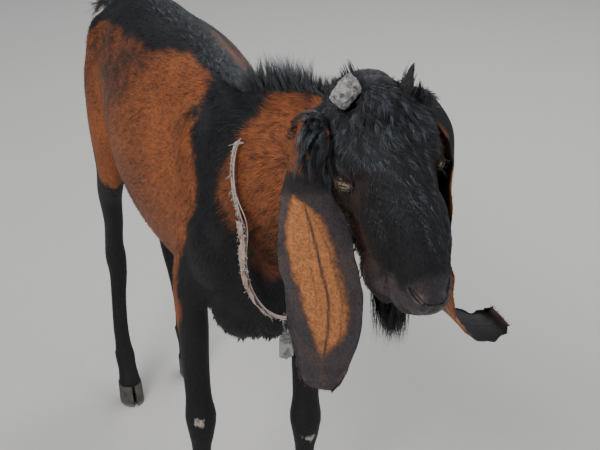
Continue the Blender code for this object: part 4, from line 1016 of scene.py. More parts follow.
def marks_of(points):
    """The coat's marks at each place: how brown, how orange and how bare and leathery."""
    x, y, z = points.T
    rough = 0.020 * (clouds(points, 0.030, 1) - 0.5) + 0.010 * (clouds(points, 0.006, 2) - 0.5)
    flank = smoothstep(-0.006, 0.006, inside(y, z, FLANK) + rough)
    spine = smoothstep(-0.016, -0.004, x) * smoothstep(-0.100, -0.080, y) * smoothstep(0.120, 0.080, y)
    flank = np.maximum(flank, spine * smoothstep(0.78, 0.80, z))
    speckle = smoothstep(0.30, 0.70, 0.6 * clouds(points * (1, 0.5, 1), 0.0030, 4) + 0.4 * clouds(points, 0.009, 14))
    haze = smoothstep(-0.035, 0.035, inside(y, z, HAZE) + rough)
    flank *= 1 - haze * (0.30 + 0.55 * speckle)
    throat = smoothstep(-0.006, 0.006, inside(y, z, THROAT) + rough)
    throat *= smoothstep(0.010, -0.010, past(points, HEAD_CUT))
    # Painted shade: the throat's brown darkens towards black lower on the neck.
    throat *= 1 - 0.55 * smoothstep(0.74, 0.60, z + 0.5 * rough)
    inner = (np.abs(x) < 0.045) & (z < 0.50)
    brown = np.maximum(flank, throat) * np.where(inner, 0.15, 1.0)
    half = ridge_half(y)
    off = off_crest(points)
    ridge = smoothstep(-0.006, 0.006, half - np.abs(off) + rough) * smoothstep(0.73, 0.76, z)
    brown *= 1 - ridge
    beyond = (
        smoothstep(0.010, 0.030, off) * smoothstep(0.110, 0.060, off) * smoothstep(-0.10, -0.04, y)
        * smoothstep(0.36, 0.24, y)
    )
    brown *= 1 - 0.62 * beyond * smoothstep(0.70, 0.76, z)
    across, along, up = head_local(points).T
    ahead = past(points, HEAD_CUT) > 0
    speck = 0.5 + 0.8 * (clouds(points, 0.0035, 15) - 0.3)
    cheek = (
        np.exp(-(((along - 0.115) / 0.075) ** 2) - ((up + 0.085) / 0.035) ** 2)
        * smoothstep(0.015, 0.035, np.abs(across))
    )
    lid = (
        np.exp(-(((along - EYE_PLACE[1]) / 0.024) ** 2) - ((up - EYE_PLACE[2]) / 0.020) ** 2) * (np.abs(across) > 0.03)
    )
    brown = np.maximum(brown, np.maximum(0.30 * cheek * speck, 0.20 * lid) * ahead)
    orange, leather = np.zeros(len(x)), np.zeros(len(x))
    for spot in CALLUSES:
        worn = (
            np.linalg.norm((points - spot[:3]) / spot[3:], axis=1) + 12 * rough
            + 0.9 * (clouds(points, 0.0045, 16) - 0.5)
        )
        orange = np.minimum(orange, -smoothstep(1.15, 0.70, worn) * (0.45 + 0.55 * clouds(points, 0.0030, 17)))
    wet = sum(
        np.exp(-((np.linalg.norm(np.stack([np.abs(across), along, up], -1) - place, axis=1) / 0.0045) ** 2))
        for place in (NOSTRIL[2], NOSTRIL[4], NOSTRIL[6])
    )
    leather = (
        np.maximum(leather, np.maximum(0.75 * bare_nose(np.stack([across, along, up], -1)), 0.40 * lid) * ahead)
        + wet * ahead
    )
    for side in (-1, 1):
        on, down, over, off = ear_places(points, side)
        warm, bare, tan = ear_marks(down, over, points, side)
        brown, orange, leather = (
            np.where(on, new, old) for new, old in ((tan, brown), (warm, orange), (bare, leather))
        )
    return np.stack([brown, orange, leather], -1)


def regions_of(points):
    """The body part that each place belongs to, as a word."""
    x, y, z = points.T
    words = np.full(len(points), "trunk_right", dtype="<U16")
    words[x > 0] = "trunk_left"
    words[past(points, NECK_CUT) > 0] = "neck"
    words[y > 0.512] = "tail"
    words[past(points, HEAD_CUT) > 0] = "head"
    for foot, (across, _) in FEET.items():
        side = math.copysign(1, across)
        if foot.startswith("front"):
            inner, low, high, start, end = 0.022, 0.435, 0.548, -0.130, 0.125
        else:
            inner, low, high, start, end = 0.034, 0.575, 0.675, 0.470, 0.700
        out = side * (x - SHIFT.x)
        top = low + (high - low) * (out - inner) / (0.150 - inner)
        within = (y - SHIFT.y > start) & (y - SHIFT.y < end)
        words[(out > inner) & (z < top) & within] = "leg_" + foot
    for side, word in ((-1, "ear_right"), (1, "ear_left")):
        words[ear_places(points, side)[0]] = word
    return words


class Hide:
    """The finished skin's faces, with the places, the ways out and the body parts that hair takes from it."""

    def __init__(self, mesh):
        self.points, self.normals = places_of(mesh), normals_of(mesh)
        mesh.calc_loop_triangles()
        faces = np.empty(len(mesh.loop_triangles) * 3, np.int32)
        mesh.loop_triangles.foreach_get("vertices", faces)
        self.faces = faces.reshape(-1, 3)
        a, b, c = (self.points[self.faces[:, k]] for k in range(3))
        self.areas = np.linalg.norm(np.cross(b - a, c - a), axis=1) / 2
        self.middles = (a + b + c) / 3
        self.regions = regions_of(self.middles)
        self.tree = tree_of(mesh)

    def scatter(self, density, draw):
        """Roots and ways out, spread by a number of tufts on each square metre of every face."""
        wanted = density * self.areas
        count = int(wanted.sum())
        picked = np.searchsorted(np.cumsum(wanted), draw.uniform(0, wanted.sum(), count))
        picked = np.minimum(picked, len(self.faces) - 1)
        share = draw.dirichlet((1, 1, 1), count)[:, :, None]
        roots = (self.points[self.faces[picked]] * share).sum(axis=1)
        return roots, unit((self.normals[self.faces[picked]] * share).sum(axis=1))


def lie_of(points, normals, regions):
    """The way the hair lies at each place, along the skin."""
    x, y, z = points.T
    side = np.sign(x - 0.004)
    top = smoothstep(0.74, 0.81, z)
    back = np.stack([0.5 * side * top, np.ones(len(x)), -0.55 * (1 - top)], -1)
    shoulder = smoothstep(-0.06, -0.16, y)[:, None]
    back = back * (1 - shoulder) + np.stack([0.2 * side, 0.35 + 0 * x, -1 + 0 * x], -1) * shoulder
    rump = smoothstep(0.32, 0.46, y)[:, None]
    lie = back * (1 - rump) + np.stack([0.2 * side, 0.5 + 0 * x, -1 + 0 * x], -1) * rump
    neck = regions == "neck"
    lie[neck] = np.stack([0.35 * side, 0.75 + 0 * x, -0.8 + 0.9 * top], -1)[neck]
    legs = np.char.startswith(regions, "leg")
    lie[legs] = (0.0, 0.12, -1.0)
    tail = regions == "tail"
    lie[tail] = (0.0, 1.0, -0.5)
    local = head_local(points)
    across, along, up = local.T
    nose = smoothstep(0.05, 0.12, along)
    brow = np.stack([0.35 + 22.0 * (across - 0.004), 0.55 + 9.0 * (along - 0.030), -0.2 + 0 * x], -1)
    flat = brow * (1 - nose[:, None]) + np.stack([0.36 + 5.0 * across, 1.0 + 0 * x, -0.2 + 0 * x], -1) * nose[:, None]
    cheek = smoothstep(-0.035, -0.070, up)[:, None]
    face = head_ways(flat * (1 - cheek) + np.array((0.0, -0.35, -0.95)) * cheek)
    head = regions == "head"
    lie[head] = face[head]
    for turn, word in ((-1, "ear_right"), (1, "ear_left")):
        on = regions == word
        if on.any():
            table, _, _, along = loft_frames(*ear_rows(turn), 8)
            down = ear_places(points[on], turn)[1]
            lie[on] = along[np.clip(down * (len(table) - 1), 0, len(table) - 1).astype(int)]
    lie = lie - normals * (lie * normals).sum(-1, keepdims=True)
    swirl = 0.45 * (clouds(points, 0.035, 6) - 0.5) + 0.25 * (clouds(points, 0.012, 7) - 0.5)
    swirl = swirl * np.where(head, 2.2 - 1.7 * smoothstep(0.06, 0.10, head_local(points)[:, 1]), 1.0)
    lie = unit(lie)
    across = np.cross(normals, lie)
    return unit(lie + swirl[:, None] * across)


def unwrap(points, region):
    """A flat place for each root: turned round the body part's own length, and along it."""
    centre = points.mean(axis=0)
    if region.startswith("leg"):
        turn, along = np.arctan2(points[:, 0] - centre[0], points[:, 1] - centre[1]), points[:, 2]
    elif region.startswith("ear"):
        _, down, over, off = ear_places(points, -1 if "right" in region else 1)
        turn, along = math.pi * np.where(off > 0, 0.5 + 0.48 * over, -0.5 + 0.48 * over), down
    else:
        turn, along = np.arctan2(points[:, 0] - centre[0], points[:, 2] - centre[2]), points[:, 1]
    flat = np.stack([turn / (2 * math.pi) + 0.5, (along - along.min()) / (np.ptp(along) + 1e-9)], -1)
    return np.clip(flat, 0.004, 0.996)


def streaks_of(points, lies, size, seed):
    """Smooth noise from 0 to 1, drawn out along one way that the hair lies on the whole."""
    way = unit(lies.mean(axis=0)[None])[0]
    return clouds(points - 0.72 * (points @ way)[:, None] * way, size, seed)


def face_streaks(points, size, seed):
    """Smooth noise from 0 to 1, drawn out along the locks of the face: out from the poll, then aslant down the nose."""
    across, along, up = head_local(points).T
    nose = smoothstep(0.045, 0.085, along)
    fan = 0.075 * np.arctan2(across - 0.004, along + 0.055)
    slant = across - 0.36 * (along - 0.065) - 0.5 * up
    beside = fan * (1 - nose) + slant * nose + 0.004 * (clouds(points, 0.018, seed + 50) - 0.5)
    return clouds(np.stack([beside, 0.17 * along, 0.10 * up], -1), size, seed)


def tufts(
    name, region, roots, outs, lies, length, width, stand, curl, segments, shade, painted_sheen, draw, marks=None, wave=0.0,
    even=0.40, phase=None,
    gather=0.0,
):
    """Closed, tapered tufts of hair as one mesh, each bent over from its root into its lie, and lit much as the skin is."""
    count = len(roots)
    length, width, stand, painted_sheen = (np.broadcast_to(v, count)[:, None] for v in (length, width, stand, painted_sheen))
    length = length * draw.uniform(0.70, 1.2, (count, 1))
    stand = stand * draw.uniform(0.5, 1.4, (count, 1))
    sides = unit(np.cross(lies, outs))
    sway = curl * draw.uniform(-1, 1, (count, 1))
    if phase is None:
        phase = 2 * math.pi * (2.6 * clouds(roots, 0.022, 31)[:, None] + 0.10 * draw.uniform(size=(count, 1)))
    rings, alongs = [], []
    for k in range(segments + 1):
        t = k / segments
        rise = stand * (1 - (1 - t) ** 2)
        bend = sway * t**2 + wave * (np.sin(phase + 4.4 * t) - np.sin(phase))
        centre = (
            roots - 0.0010 * outs + length * (rise * outs + t * (1 - 0.4 * stand) * lies + bend * sides) + t * gather
        )
        if k == segments:
            rings.append(centre)
            alongs.append(1.0)
            break
        share = width * (0.8 + 0.4 * t - 1.1 * t * t)
        for j in range(3):
            turn = 2 * math.pi * j / 3 + math.pi / 2
            rings.append(centre + sides * 0.5 * share * math.cos(turn) + outs * 0.30 * share * math.sin(turn))
            alongs.append(t)
    each = 3 * segments + 1
    points = np.stack(rings, 1).reshape(-1, 3)
    corners = [(0, 2, 1)]
    for k in range(segments - 1):
        for j in range(3):
            a, b = 3 * k + j, 3 * k + (j + 1) % 3
            corners += [(a, b, b + 3), (a, b + 3, a + 3)]
    last = 3 * (segments - 1)
    corners += [(last + j, last + (j + 1) % 3, each - 1) for j in range(3)]
    corners = np.array(corners)
    sample = points[:each][corners]
    if np.linalg.det(sample - points[:each].mean(0)).sum() < 0:
        corners = corners[:, ::-1]
    faces = (np.arange(count)[:, None, None] * each + corners).reshape(-1, 3)
    obj = mesh_object(name, points, faces)
    obj.data.shade_smooth()
    lit = unit((1 - even) * normals_of(obj.data) + even * np.repeat(outs, each, axis=0))
    obj.data.normals_split_custom_set_from_vertices(lit.astype(np.float32))
    marks = marks_of(roots) if marks is None else np.broadcast_to(marks, (count, 3))
    store(obj.data, "marks", np.repeat(marks, each, axis=0))
    strand = np.empty((count, each, 3))
    strand[:, :, 0] = np.clip(shade, 0, 1.5)[:, None]
    strand[:, :, 1] = alongs
    # Along a waved tuft the painted sheen rises and falls with the wave, as painted highlights on the wave crests.
    strand[:, :, 2] = painted_sheen * (1 + 0.9 * np.sign(wave) * np.sin(phase + 4.4 * np.array(alongs) + 0.8))
    store(obj.data, "strand", strand.reshape(-1, 3))
    flat = (
        unwrap(roots, region)[:, None] + 0.003 * np.array([((i % 3) / 3 - 0.33, alongs[i] - 0.5) for i in range(each)])
    )
    layer = obj.data.uv_layers.new(name="OFBake")
    layer.uv.foreach_set("vector", flat.reshape(-1, 2)[faces.ravel()].astype(np.float32).ravel())
    return obj


def finished(obj, paint):
    """The piece with its material and slot, riding on the goat."""
    obj.data.materials.clear()
    obj.data.materials.append(paint)
    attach(obj, "root")
    return obj


def whole_body():
    """Trunk, neck, legs and tail melted into one form, evened out as flesh is."""
    pieces = trunk_pieces() + [neck_piece(), crest_piece(), tail_piece()] + head_pieces()
    for foot in FEET:
        legs = front_leg_pieces if foot.startswith("front") else hind_leg_pieces
        pieces += legs(foot)
    body = fused("body", pieces, BODY_VOXEL)
    points = places_of(body.data)
    on_trunk = np.clip((points[:, 2] - 0.44) / 0.10, 0, 1)
    off_head = np.clip((points[:, 1] + 0.26) / 0.10, 0, 1)
    softened(body, 110, 0.10 + 0.90 * on_trunk * off_head)
    return body


def whole_head():
    """Head, chin and the top of the neck melted into one finer form."""
    head = fused("head", head_pieces() + [neck_piece(), beard_piece()], HEAD_VOXEL)
    return softened(head, 20, np.ones(len(head.data.vertices)))


def sunk(obj, depth):
    """The object drawn in along its own ways out, by a depth for each point."""
    points = places_of(obj.data)
    normals = normals_of(obj.data)
    set_places(obj.data, points - normals * depth(points + np.array(SHIFT))[:, None])
    return obj


def body_depth(points):
    """How deep the skin lies under the coat on the body."""
    x, y, z = points.T
    legs = smoothstep(0.50, 0.42, z)
    crest = np.exp(-((np.abs(x + 0.045) / 0.030) ** 2)) * smoothstep(0.79, 0.83, z) * smoothstep(0.02, -0.06, y)
    tail = smoothstep(0.49, 0.53, y)
    depth = 0.0035 - 0.0020 * legs + 0.0060 * crest + 0.0030 * tail
    return depth + 0.0040 * smoothstep(-0.004, 0.006, past(points, HEAD_CUT))


def head_depth(points):
    """How deep the skin lies under the coat on the head, and under the body's skin below it."""
    away = past(points, HEAD_CUT)
    chin = smoothstep(0.560, 0.540, points[:, 2] - 0.12)
    return 0.0014 + 0.0040 * smoothstep(0.004, -0.008, away) + 0.0040 * chin


def surface_spot(tree, place, way):
    """Where a line from inside the head leaves it, and the skin's way out there."""
    start = head_point(*place)
    line = head_way(*way).normalized()
    return tree.ray_cast(start + 0.2 * line, -line)[:2]


def lid_frame(side):
    """The eye's middle, and the ways along its slit, across it and out."""
    along = head_way(-side * 0.60, 0.55, 0.58).normalized()
    out = head_way(side * 0.78, 0.35, 0.45)
    across = out.cross(along).normalized()
    return head_point(side * EYE_PLACE[0], *EYE_PLACE[1:]), along, across, along.cross(across)


def snapped(tree, places, depth=0.0):
    """Places on the head brought onto its surface, and sunk a little."""
    middle = (0.0, 0.205, -0.055)
    made = []
    for place in places:
        way = [a - b for a, b in zip(place, middle)]
        found, out = surface_spot(tree, middle, way)
        made.append(found - depth * out)
    return np.array(made)


def nostril(tree, side):
    """A slit at the side of the nose, and the thin crease that runs from it to the nose's middle."""
    line = snapped(tree, [(side * across, along, up) for across, along, up in NOSTRIL], 0.0006)
    line = smooth_rows(line, 4)
    radius = np.interp(
        np.linspace(0, 1, len(line)), (0, 0.12, 0.30, 0.50, 0.62, 1), (0.0012, 0.0027, 0.0034, 0.0028, 0.0015, 0.0010)
    )
    return string_object("nostril", [line], radius, closed=False)


def nostril_rim(tree, side):
    """The raised edge below a nostril."""
    line = snapped(tree, [(side * (across + 0.0030), along, up - 0.0042) for across, along, up in NOSTRIL[:7]], 0.0006)
    line = smooth_rows(line, 4)
    radius = 0.0024 * np.sin(np.linspace(0.15, math.pi - 0.15, len(line))) ** 0.5
    return string_object("rim", [line], radius, closed=False)


def mouth_line(tree):
    """A groove round the muzzle between the lips."""
    half = [(-across, along, up) for across, along, up in MOUTH]
    line = smooth_rows(snapped(tree, half + list(MOUTH)[-2::-1]), 3)
    radius = 0.0019 * np.sin(np.linspace(0.25, math.pi - 0.25, len(line))) ** 0.4
    return string_object("mouth", [line], radius, closed=False)


def lip_ridge(tree):
    """The lower lip's rounded edge below the groove."""
    half = [(-across - 0.001, along - 0.001, up - 0.0052) for across, along, up in MOUTH[:-1]]
    other = [(-across, along, up) for across, along, up in half[::-1]]
    line = smooth_rows(snapped(tree, half + other, 0.0008), 3)
    radius = 0.0028 * np.sin(np.linspace(0.15, math.pi - 0.15, len(line))) ** 0.4
    return string_object("lip", [line], radius, closed=False)


def lid_fold(side, half, high, radius, start, end):
    """A crease's ridge round an eye, part of the way about it, in degrees from its front corner."""
    eye, along, across, out = lid_frame(side)
    points = []
    for angle in np.linspace(math.radians(start), math.radians(end), 28):
        over, rise = half * math.cos(angle), high * math.sin(angle)
        reach = math.sqrt(max(1e-8, (LID_RADIUS + 0.0002) ** 2 - over**2 - rise**2))
        points.append(eye + along * over + across * rise + out * reach)
    return string_object("fold", [np.array(points)], radius, closed=end - start >= 360)


def collar_line(tree, count=72):
    """The collar's middle line round the root of the neck, with the way out from the neck at each place."""
    middle = Vector((-0.003, -0.094, 0.675))
    up, side = Vector((0, 0.205, 0.979)), Vector((1, 0, 0))
    turns = [2 * math.pi * k / count for k in range(count)]
    ways = [side * math.cos(turn) + up * math.sin(turn) for turn in turns]
    reach = np.array([min((tree.ray_cast(middle + 0.4 * way, -way)[0] - middle).length, 0.150) for way in ways])
    even = (np.roll(reach, 2) + 2 * reach + np.roll(reach, -2)) / 4
    even = np.maximum(even, reach)
    slack = 0.072 * np.maximum(0.0, -np.sin(turns)) ** 4
    reach = even + slack + 0.0034 + 0.0006
    ways = np.array(ways)
    return np.array(middle + SHIFT) + ways * reach[:, None], ways


class GOAT_OT_skin(bpy.types.Operator):
    """One skin over the whole goat, with its ears, lids, nostrils and the line of its mouth"""

    bl_idname = "goat.skin"
    bl_label = "Skin"

    def execute(self, context):
        body = whole_body()
        line, ways = collar_line(tree_of(body.data))
        context.scene["collar_line"] = np.hstack([line, ways]).ravel().tolist()
        head = whole_head()
        sunk(body, body_depth)
        sunk(head, head_depth)
        place, way = HEAD_CUT
        trimmed(body, place + way * 0.016, -way)
        trimmed(head, place - way * 0.016, way)
        thinned(body, 0.30)
        tree = tree_of(head.data)
        cut(head, lip_ridge(tree), "UNION")
        for side in (-1, 1):
            cut(head, nostril_rim(tree, side), "UNION")
            eye, along, across, out = lid_frame(side)
            turn = Matrix((along, across, out)).transposed()
            socket = ball("socket", eye, [EYE_ROUND + 0.0002] * 3, rings=20)
            slit = ball("slit", eye + out * 0.8 * LID_RADIUS, (0.0105, 0.0037, 0.0110), turn, rings=16)
            for fold in (
                (0.0118, 0.0062, 0.0009, 10, 170), (0.0128, 0.0092, 0.0008, 20, 165),
                (0.0120, 0.0068, 0.0009, 190, 350)
            ):
                cut(head, lid_fold(side, *fold), "UNION")
            cut(head, cut(socket, slit, "UNION"))
            cut(head, nostril(tree, side))
            cut(head, loft("socket", horn_rows(side, 0.97), head_way(1, 0, 0), steps=4, around=24))
        cut(head, mouth_line(tree))
        for side in (-1, 1):
            cut(head, ear_sheet(side), "UNION")
        skin = cut(body, head, "UNION")
        skin.name = skin.data.name = "skin"
        skin.data.transform(Matrix.Translation(SHIFT))
        skin.data.shade_smooth()
        points = places_of(skin.data)
        store(skin.data, "marks", marks_of(points))
        flesh = [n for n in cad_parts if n.split("_")[0] in ("torso", "neck", "head", "tail", "leg", "ear")]
        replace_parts(finished(skin, skin_material(context.scene.goat_coat)), *flesh)
        return {"FINISHED"}


class GOAT_OT_short_hair(bpy.types.Operator):
    """Short flat hair all over the skin, in tufts that follow its lie"""

    bl_idname = "goat.short_hair"
    bl_label = "Short hair"

    def execute(self, context):
        settings = context.scene.goat_coat
        hide = Hide(bpy.data.objects["skin"].data)
        paint = hair_material(settings)
        draw = np.random.default_rng(7)
        scale = {
            "head": (1.8, 0.85, 0.64), "ear": (1.4, 0.34, 0.60), "leg": (0.80, 0.60, 0.85), "tail": (1.2, 1.2, 1.0),
            "trunk": (0.9, 1.05, 0.95), "neck": (1.3, 1.50, 0.80),
        }
        for region in sorted(set(hide.regions)):
            kind = region.split("_")[0]
            more, short, slim = scale.get(kind, (1.0, 1.0, 1.0))
            density = np.where(hide.regions == region, settings.density * more, 0.0)
            if kind == "head":
                local = head_local(hide.middles)
                eyes = np.linalg.norm(np.abs(local) - (*EYE_PLACE[:2], -EYE_PLACE[2]), axis=1)
                density = density * (1 - 0.94 * bare_nose(local)) * (0.12 + 0.88 * smoothstep(0.014, 0.022, eyes))
            roots, outs = hide.scatter(density, draw)
            words = np.full(len(roots), region, dtype="<U16")
            lies = lie_of(roots, outs, words)
            marks = marks_of(roots)
            black = smoothstep(0.5, 0.2, marks[:, 0]) * smoothstep(0.5, 0.2, marks[:, 2])
            length = settings.short_length * short * (0.75 + 0.5 * clouds(roots, 0.05, 9))
            locks = streaks_of(roots, lies, 0.0032, 11)
            # A quarter of the black tufts get a faint painted sheen.
            painted_sheen = 0.20 * (draw.uniform(size=len(roots)) > 0.75) * black
            segments, curl, wave = 1, 0.16, np.zeros((len(roots), 1))
            if kind == "head":
                across, along, up = head_local(roots).T
                jaw = smoothstep(-0.085, -0.105, up) * smoothstep(0.215, 0.190, along)
                length = length * (1 - 0.35 * smoothstep(0.10, 0.20, along)) * (1 + 0.4 * jaw)
                locks = face_streaks(roots, 0.0026, 11)
                # Painted highlights on the face: streaks where the hair faces upwards, fewer on the near side of the
                # nose and on the nose end, and a painted sheen over the right brow.
                lit = smoothstep(-0.1, 0.5, outs[:, 2]) * smoothstep(0.50, 0.72, face_streaks(roots, 0.0030, 33))
                brow = np.exp(-(((across + 0.045) / 0.024) ** 2) - ((along - 0.052) / 0.018) ** 2)
                plain = smoothstep(0.004, -0.014, across) * smoothstep(0.09, 0.12, along)
                lit = lit * (1 - 0.8 * plain) * (1 - 0.75 * smoothstep(0.185, 0.215, along))
                painted_sheen = (
                    (1.6 * lit + 0.65 * brow * (0.3 + 0.7 * locks) + 0.03) * draw.uniform(0.2, 1.1, len(roots)) * black
                )
                segments, curl, wave = 2, 0.08, 0.08 * (1 - 0.7 * smoothstep(0.10, 0.20, along))[:, None]
            loose = 0.14 if kind == "ear" else 0.36
            shade = (
                0.5 + (1.05 if kind == "head" else 1.40) * (locks - 0.5) + 0.40 * (clouds(roots, 0.014, 10) - 0.5)
                + draw.uniform(-loose, loose, len(roots))
            )
            pieces = math.ceil(len(roots) * (6 * segments - 2) / 180000)
            for k, group in enumerate(np.array_split(np.argsort(roots[:, 1]), pieces)):
                name = "coat_" + region + ("_%d" % (k + 1) if pieces > 1 else "")
                obj = tufts(
                    name, region, roots[group], outs[group], lies[group], length[group], settings.short_width * slim,
                    0.15, curl,
                    segments, shade[group], painted_sheen[group], draw, marks[group], wave[group],
                )
                finished(obj, paint)
        return {"FINISHED"}


CREST_LINE = (
    (-0.020, -0.400), (-0.031, -0.328), (-0.044, -0.218), (-0.046, -0.088), (-0.041, 0.050), (-0.044, 0.250),
    (-0.052, 0.480)
)


def ridge_half(along):
    """Half the width of the black along the neck's top and the back."""
    return np.interp(along, (-0.40, -0.28, -0.19, -0.10, 0.10, 0.30), (0.009, 0.012, 0.019, 0.024, 0.021, 0.026))


def off_crest(points):
    """How far each place lies to the side of the crest and the dorsal stripe."""
    line = np.array(CREST_LINE)
    return points[:, 0] - np.interp(points[:, 1], line[:, 1], line[:, 0])


class GOAT_OT_long_hair(bpy.types.Operator):
    """The long hair: crest, dorsal stripe, forelock, ear tops, beard and tail"""

    bl_idname = "goat.long_hair"
    bl_label = "Long hair"

    def lay(
        self, hide, name, region, density, draw, lie, length, width, stand, curl, painted_sheen, spread, segments=3, brown=0.0,
        wave=0.05,
        members=9, reach=0.0035, gather=0.75,
    ):
        """Black hair on the faces where the density is above 0, in locks whose members run together towards their tips."""
        roots, outs = hide.scatter(density / members, draw)
        count = len(roots)
        lies = unit(unit(lie(roots, outs)) + spread * draw.uniform(-1, 1, (count, 3)))
        long = length(roots) if callable(length) else np.full(count, length)
        long = long * draw.uniform(0.8, 1.1, count)
        shade = 0.5 + 0.5 * (clouds(roots, 0.006, 12) - 0.5) + draw.uniform(-0.28, 0.28, count)
        # Each lock's painted sheen, varied at random and in clouds.
        painted_sheen = painted_sheen * np.clip(1.6 * draw.uniform(size=count) - 0.4, 0.05, 1) * (0.5 + clouds(roots, 0.012, 34))
        marks = np.zeros((count, 3))
        marks[:, 0] = np.where(draw.uniform(size=count) < brown, 0.5, 0.0)
        turn = draw.uniform(0, 2 * math.pi, (count, members, 1))
        far = reach * np.sqrt(draw.uniform(size=(count, members, 1)))
        sides = unit(np.cross(lies, outs))
        offset = (far * (np.cos(turn) * lies[:, None] + np.sin(turn) * sides[:, None])).reshape(-1, 3)
        roots, outs, lies, long, shade, painted_sheen, marks = (
            np.repeat(v, members, axis=0) for v in (roots, outs, lies, long, shade, painted_sheen, marks)
        )
        phase = np.repeat(draw.uniform(0, 2 * math.pi, (count, 1)), members, axis=0)
        shade = shade + draw.uniform(-0.2, 0.2, len(shade))
        return tufts(
            name, region, roots + offset, outs, lies, long, width, stand, curl, segments, shade, painted_sheen, draw, marks,
            wave, 0.35,
            phase, -gather * offset,
        )

    def execute(self, context):
        hide = Hide(bpy.data.objects["skin"].data)
        paint = hair_material(context.scene.goat_coat, "goat_long_hair")
        draw = np.random.default_rng(19)
        middles, regions = hide.middles, hide.regions
        normals = unit(hide.normals[hide.faces].sum(axis=1))
        off, y = off_crest(middles), middles[:, 1]
        local = head_local(middles)
        upward = smoothstep(0.1, 0.4, normals[:, 2])
        made = []
        crest = (
            smoothstep(0.001, -0.006, np.abs(off) - ridge_half(y)) * upward * smoothstep(0.02, -0.03, y)
            * (regions != "head")
        )
        crest *= ~np.char.startswith(regions, "ear")

        def crest_lie(roots, outs):
            aside = np.clip(off_crest(roots) / 0.03, -1, 1)
            stand = smoothstep(-0.18, -0.25, roots[:, 1])
            return np.stack([0.12 * aside, 0.85 - 0.35 * stand, 0.10 + 0.70 * stand], -1)

        def crest_length(roots):
            return np.interp(
                roots[:, 1], (-0.42, -0.37, -0.34, -0.25, -0.19, -0.12, 0.0),
                (0.012, 0.024, 0.042, 0.044, 0.026, 0.018, 0.016)
            )

        made.append(
            self.lay(
                hide, "crest", "neck", 430000 * crest, draw, crest_lie, crest_length, 0.0008, 0.22, 0.08, 0.62, 0.30,
                wave=0.04, gather=0.40
            )
        )
        stripe = (
            smoothstep(0.001, -0.008, np.abs(off) - ridge_half(y)) * upward * smoothstep(-0.12, -0.04, y)
            * smoothstep(0.52, 0.48, y)
        )

        def stripe_lie(roots, outs):
            aside = np.clip(off_crest(roots) / 0.03, -1, 1)
            return np.stack([0.30 * aside, 1.0 + 0 * aside, 0 * aside], -1)

        made.append(
            self.lay(hide, "stripe", "trunk", 215000 * stripe, draw, stripe_lie, 0.022, 0.0009, 0.10, 0.08, 0.85, 0.12)
        )
        across, along, up = local.T
        forelock = (
            smoothstep(0.054, 0.040, np.abs(across)) * smoothstep(-0.085, -0.060, along)
            * smoothstep(0.054, 0.036, along)
        )
        forelock *= (regions == "head") & (up > -0.034 - 0.5 * np.maximum(0, -along))

        def forelock_lie(roots, outs):
            at = head_local(roots)
            return head_ways(np.stack([9.0 * at[:, 0] + 0.15, 1.0 + 0 * at[:, 0], -0.12 + 0 * at[:, 0]], -1))

        made.append(
            self.lay(
                hide, "forelock", "head", 300000 * forelock, draw, forelock_lie, 0.026, 0.0008, 0.10, 0.05, 0.95, 0.20,
                4, wave=0.15, reach=0.0030, gather=0.45
            )
        )
        spike = np.exp(-(((across - 0.044) / 0.010) ** 2) - ((along + 0.002) / 0.012) ** 2) * (up > -0.04)
        spike += np.exp(-(((across + 0.020) / 0.007) ** 2) - ((along + 0.018) / 0.008) ** 2) * (up > -0.04)

        def spike_lie(roots, outs):
            return 1.0 * outs + head_ways(np.array((0.15, -0.85, 0.5)))

        made.append(
            self.lay(hide, "horn_tufts", "head", 520000 * spike, draw, spike_lie, 0.026, 0.0011, 0.2, 0.06, 0.2, 0.12)
        )
        chin = (
            smoothstep(0.115, 0.130, along) * smoothstep(0.200, 0.185, along) * (up < -0.114)
            * (np.abs(across) < 0.026)
        )
        chin = chin * (regions == "head")
        tip = np.array(BEARD_TIP + SHIFT)

        def hang(roots, outs):
            return unit(tip - roots) + 0 * outs

        def beard_length(roots):
            return np.linalg.norm(tip - roots, axis=1) * (0.72 + 0.28 * clouds(roots, 0.004, 35))

        made.append(self.lay(hide, "beard", "head", 700000 * chin, draw, hang, beard_length, 0.0010, 0.03, 0.04, 0.55, 0.10, 4, wave=0.05))
        jaw = (
            smoothstep(-0.088, -0.104, up) * smoothstep(0.02, 0.05, along) * smoothstep(0.190, 0.165, along)
            * (regions == "head")
        )

        def jaw_lie(roots, outs):
            return head_ways(np.array((-0.15, 0.75, -0.65))) + 0.15 * outs

        made.append(self.lay(hide, "jaw_hair", "head", 95000 * jaw, draw, jaw_lie, 0.011, 0.0011, 0.10, 0.10, 0.10, 0.25, brown=0.12))
        fringe = (y > -0.30) & (y < -0.13) & (middles[:, 2] < 0.50) & (normals[:, 2] < -0.1) & np.char.startswith(regions, "trunk")

        def drop(roots, outs):
            return np.array((0.0, 0.25, -1.0)) + 0 * outs

        made.append(
            self.lay(hide, "brisket_hair", "trunk", 75000 * fringe, draw, drop, 0.010, 0.0012, 0.1, 0.10, 0.12, 0.30)
        )

        def tail_lie(roots, outs):
            return np.stack([0.35 * outs[:, 0], 1 + 0 * outs[:, 0], -0.5 - 4 * np.maximum(0, roots[:, 1] - 0.55)], -1)

        tail = (regions == "tail") * smoothstep(0.515, 0.53, y)
        made.append(self.lay(hide, "tail_hair", "tail", 200000 * tail, draw, tail_lie, 0.058, 0.0012, 0.22, 0.08, 0.55, 0.18, 4, 0.08))
        for side, word in ((-1, "ear_right"), (1, "ear_left")):
            on = regions == word
            down, over = ear_places(middles, side)[1:3]
            top = on * smoothstep(0.34, 0.25, down) * smoothstep(-0.3, 0.1, over) * (1.0 if side < 0 else 0.12)
            line = loft_frames(*ear_rows(side), 8)[3]

            def ear_lie(roots, outs, side=side, line=line):
                row = np.clip(ear_places(roots, side)[1] * (len(line) - 1), 0, len(line) - 1).astype(int)
                return line[row]

